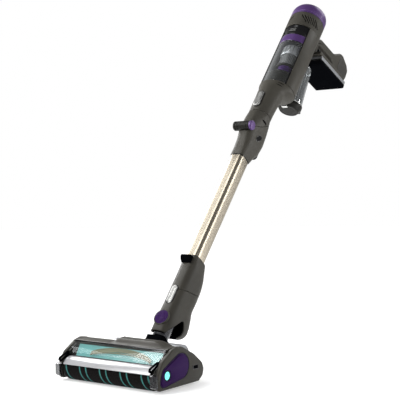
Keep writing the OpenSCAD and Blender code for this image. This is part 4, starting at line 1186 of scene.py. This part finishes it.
def makeFront(f):
    half = f["windowHalf"]
    window = Shape(onFloor)
    plate(window, bowed(f["windowLow"], f["windowHigh"], 2.2, 2.0), -half, half, 0.6)
    window.piece("nozzleWindow", "nozzle", clearFront, "clear_plastic", ["nozzle_window"], 50)
    a = np.radians(np.linspace(*f["stripArc"], 26))[:, None]
    arc = np.hstack([np.cos(a), np.sin(a)])
    outer, inner = (np.array(rollerAt) + arc * r for r in f["stripSkin"])
    strip = Shape(onFloor)
    plate(strip, rounded(np.vstack([outer, inner[::-1]]), 0.5, 2), -f["stripHalf"], f["stripHalf"], 0.8)
    strip.piece("frontStrip", "nozzle", whiteStrip, "strip_plastic", ["front_strip"], 50)
    seals = Shape(onFloor)
    plate(seals, rounded(f["sealHigh"], 0.6, 3), -half, half, 0.5)
    plate(seals, rounded(f["sealLow"], 0.5, 3), -half, half, 0.5)
    seals.piece("windowSeals", "nozzle", gloss, "gloss_black")
    # lit reflector at the back of the chamber, and the arched olive band in front of it
    low, along, inward = np.array([-47.0, 50.4]), np.array([20.0, 28.2]), np.array([0.816, -0.578])
    lit = [low + along * t + inward * d for t, d in ((0.06, 9.5), (0.5, 8.4), (0.95, 7.0), (0.95, 8.2),
                                                     (0.5, 9.6), (0.06, 10.7))]
    glow = Shape(onFloor)
    plate(glow, lit, -f["lampHalf"], f["lampHalf"], 0.4)
    glow.piece("dustLamp", "nozzle", tealSoft, "teal_light")
    x = np.linspace(-70, 92, 90)
    bow = np.sqrt(np.clip(1 - ((x - f["ribMiddle"]) / f["ribHalf"]) ** 2, 0, 1))
    arch = Shape(onFloor)
    for height, wide, deep, thick in ((0.72, 0.13, 4.2, 1.6), (0.5, 0.035, 3.4, 1.0)):
        t = 0.02 + height * bow[:, None] + wide * np.array([-1, 1, 1, -1])
        d = deep + thick * np.array([0, 0, 1, 1])
        yz = low + along * t[..., None] + inward * d[:, None]
        arch.grid(np.concatenate([x[:, None, None] + 0 * yz[..., :1], yz], -1), False, True, True)
    arch.piece("airDeflector", "nozzle", olive, "rib_green", ["air_deflector"])
    softened("end_bumpers", 1.0, frosted)
    loop, hole = (dense(rounded(f[key], radius, steps), 2, True)
                  for key, radius, steps in (("loop", 2.4, 4), ("loopHole", 1.2, 3)))
    for x0, x1, name in ((-123.8, -118.2, "bracketLeft"), (118.2, 123.8, "bracketRight")):
        bracket = Shape(onFloor)
        plate(bracket, loop, x0, x1, 1.2, [hole])
        bracket.piece(name, "nozzle", blackPart, "black_plastic", ["front_brackets"])
    softened("pivot_drums", 2.4, greyTrim)
    softened("sole_plate", 0.8, blackPart)


def finishNode(node, material):
    # the CAD shape stays and takes a better finish
    for spot in frame["nodes"][node].material_slots:
        spot.material = material


makeNeck(neck)
makeTube(tube)
makeJoint(joint)
print("wand made")
makeSides(sides)
makeRoller(roller)
makeBrush(brush)
makeCover(cover)
makeFront(front)
for side in ("left", "right"):
    softened("wheel_" + side, 0.8, wheelRubber)
for node, material in {"nozzle_chassis": darkPart, "brush_motor": greyTrim, "drive_belt": wheelRubber,
                       "axles": steel, "yoke_pins": steel, "flex_pin": steel, "suction_motor": greyTrim,
                       "suction_fan": darkPart, "rear_filter": paper}.items():
    finishNode(node, material)
print("nozzle made")


camera = {"azimuth": 40.4, "distance": 1.9232, "height": 0.3863, "yaw": 35.81, "pitch": -0.30,
          "roll": -0.57, "lens": 82.9}
# soft boxes: place, size, power. Strips lie along the wand: height up it, turn to the left of the view,
# distance, width, length, power
boxes = {"key": ((-1.6, -2.2, 2.3), (1.4, 1.4), 30), "fill": ((2.6, -0.9, 1.3), (1.6, 1.6), 10),
         "rim": ((0.9, 2.4, 2.2), (1.5, 1.5), 24)}
strips = {"stripLeft": (560, 66, 1.3, 0.55, 2.2, 22), "stripRight": (880, -72, 0.8, 0.16, 0.9, 5),
          "stripWindow": (880, 118, 0.9, 0.7, 0.8, 18)}
worldLight, floorGlow = 0.27, 0.42


def makeStudio():
    floor = bpy.data.meshes.new("floor")
    a = np.linspace(0, 2 * math.pi, 64, endpoint=False)
    floor.from_pydata(np.stack([9 * np.cos(a), 9 * np.sin(a), 0 * a - 0.0002], -1).tolist(), [],
                      [list(range(64))])
    obj = bpy.data.objects.new("floor", floor)
    bpy.context.scene.collection.objects.link(obj)
    f = Finish("paleFloor", Specular_IOR_Level=0.25)
    # the floor brightens away from the object, so that it meets the white backdrop
    f.shader.inputs["Emission Strength"].default_value = 1.0
    reach = f.add("ShaderNodeVectorMath", {"operation": "LENGTH"}, {0: f.place}).outputs["Value"]
    glow = f.blend(f.span(Value(f, reach), 0.9, 3.2), (floorGlow,) * 3, (1.0,) * 3)
    floor.materials.append(f.paint(Base_Color=f.blend(f.noise(3, 2), (0.86, 0.86, 0.86), (0.88, 0.88, 0.88)),
                                   Roughness=f.span(f.noise(6, 2), 0, 1, 0.16, 0.2), Emission_Color=glow))
    world = bpy.data.worlds.new("studio")
    bpy.context.scene.world = world
    world.use_nodes = True
    tree = world.node_tree
    # what the lens sees behind the object is white; what lights the object is dimmer
    seen = tree.nodes.new("ShaderNodeBackground")
    seen.inputs["Color"].default_value = (1, 1, 1, 1)
    lit = tree.nodes["Background"]
    lit.inputs["Color"].default_value = (1, 1, 1, 1)
    lit.inputs["Strength"].default_value = worldLight
    mix = tree.nodes.new("ShaderNodeMixShader")
    tree.links.new(tree.nodes.new("ShaderNodeLightPath").outputs["Is Camera Ray"], mix.inputs[0])
    tree.links.new(lit.outputs[0], mix.inputs[1])
    tree.links.new(seen.outputs[0], mix.inputs[2])
    tree.links.new(mix.outputs[0], tree.nodes["World Output"].inputs["Surface"])
    places = {name: (Vector(place), Vector((0, 0.4, 0.5)), Vector((0, 0, 1)), size, power)
              for name, (place, size, power) in boxes.items()}
    azimuth = math.radians(camera["azimuth"])
    view = np.array([math.sin(azimuth), -math.cos(azimuth), 0])
    view = view - up * (view @ up)
    view = view / np.linalg.norm(view)
    left = np.cross(view, up)
    for name, (height, turn, distance, width, length, power) in strips.items():
        turn = math.radians(turn)
        middle = onWand(np.array([0, 0, height]))
        place = middle + distance * (view * math.cos(turn) + left * math.sin(turn))
        places[name] = (Vector(place), Vector(middle), Vector(up), (width, length), power)
    for name, (place, target, upright, size, power) in places.items():
        lamp = bpy.data.lights.new(name, "AREA")
        lamp.shape, lamp.energy = "RECTANGLE", power
        lamp.size, lamp.size_y = size
        light = bpy.data.objects.new(name, lamp)
        away = (place - target).normalized()
        side = upright.cross(away).normalized()
        turned = Matrix((side, away.cross(side), away)).transposed().to_4x4()
        light.matrix_world = Matrix.Translation(place) @ turned
        light.visible_camera = False
        bpy.context.scene.collection.objects.link(light)


def makeCamera(c):
    lens = bpy.data.cameras.new("camera")
    lens.sensor_width, lens.lens = 36, c["lens"]
    lens.clip_start, lens.clip_end = 0.05, 50
    obj = bpy.data.objects.new("camera", lens)
    bpy.context.scene.collection.objects.link(obj)
    azimuth = math.radians(c["azimuth"])
    place = Vector((c["distance"] * math.sin(azimuth), -c["distance"] * math.cos(azimuth), c["height"]))
    obj.matrix_world = (Matrix.Translation(place) @ Matrix.Rotation(math.radians(c["yaw"]), 4, "Z")
                        @ Matrix.Rotation(math.radians(90 + c["pitch"]), 4, "X")
                        @ Matrix.Rotation(math.radians(c["roll"]), 4, "Z"))
    bpy.context.scene.camera = obj


bpy.context.scene.view_settings.view_transform = "Standard"
makeStudio()
makeCamera(camera)
print("studio made")
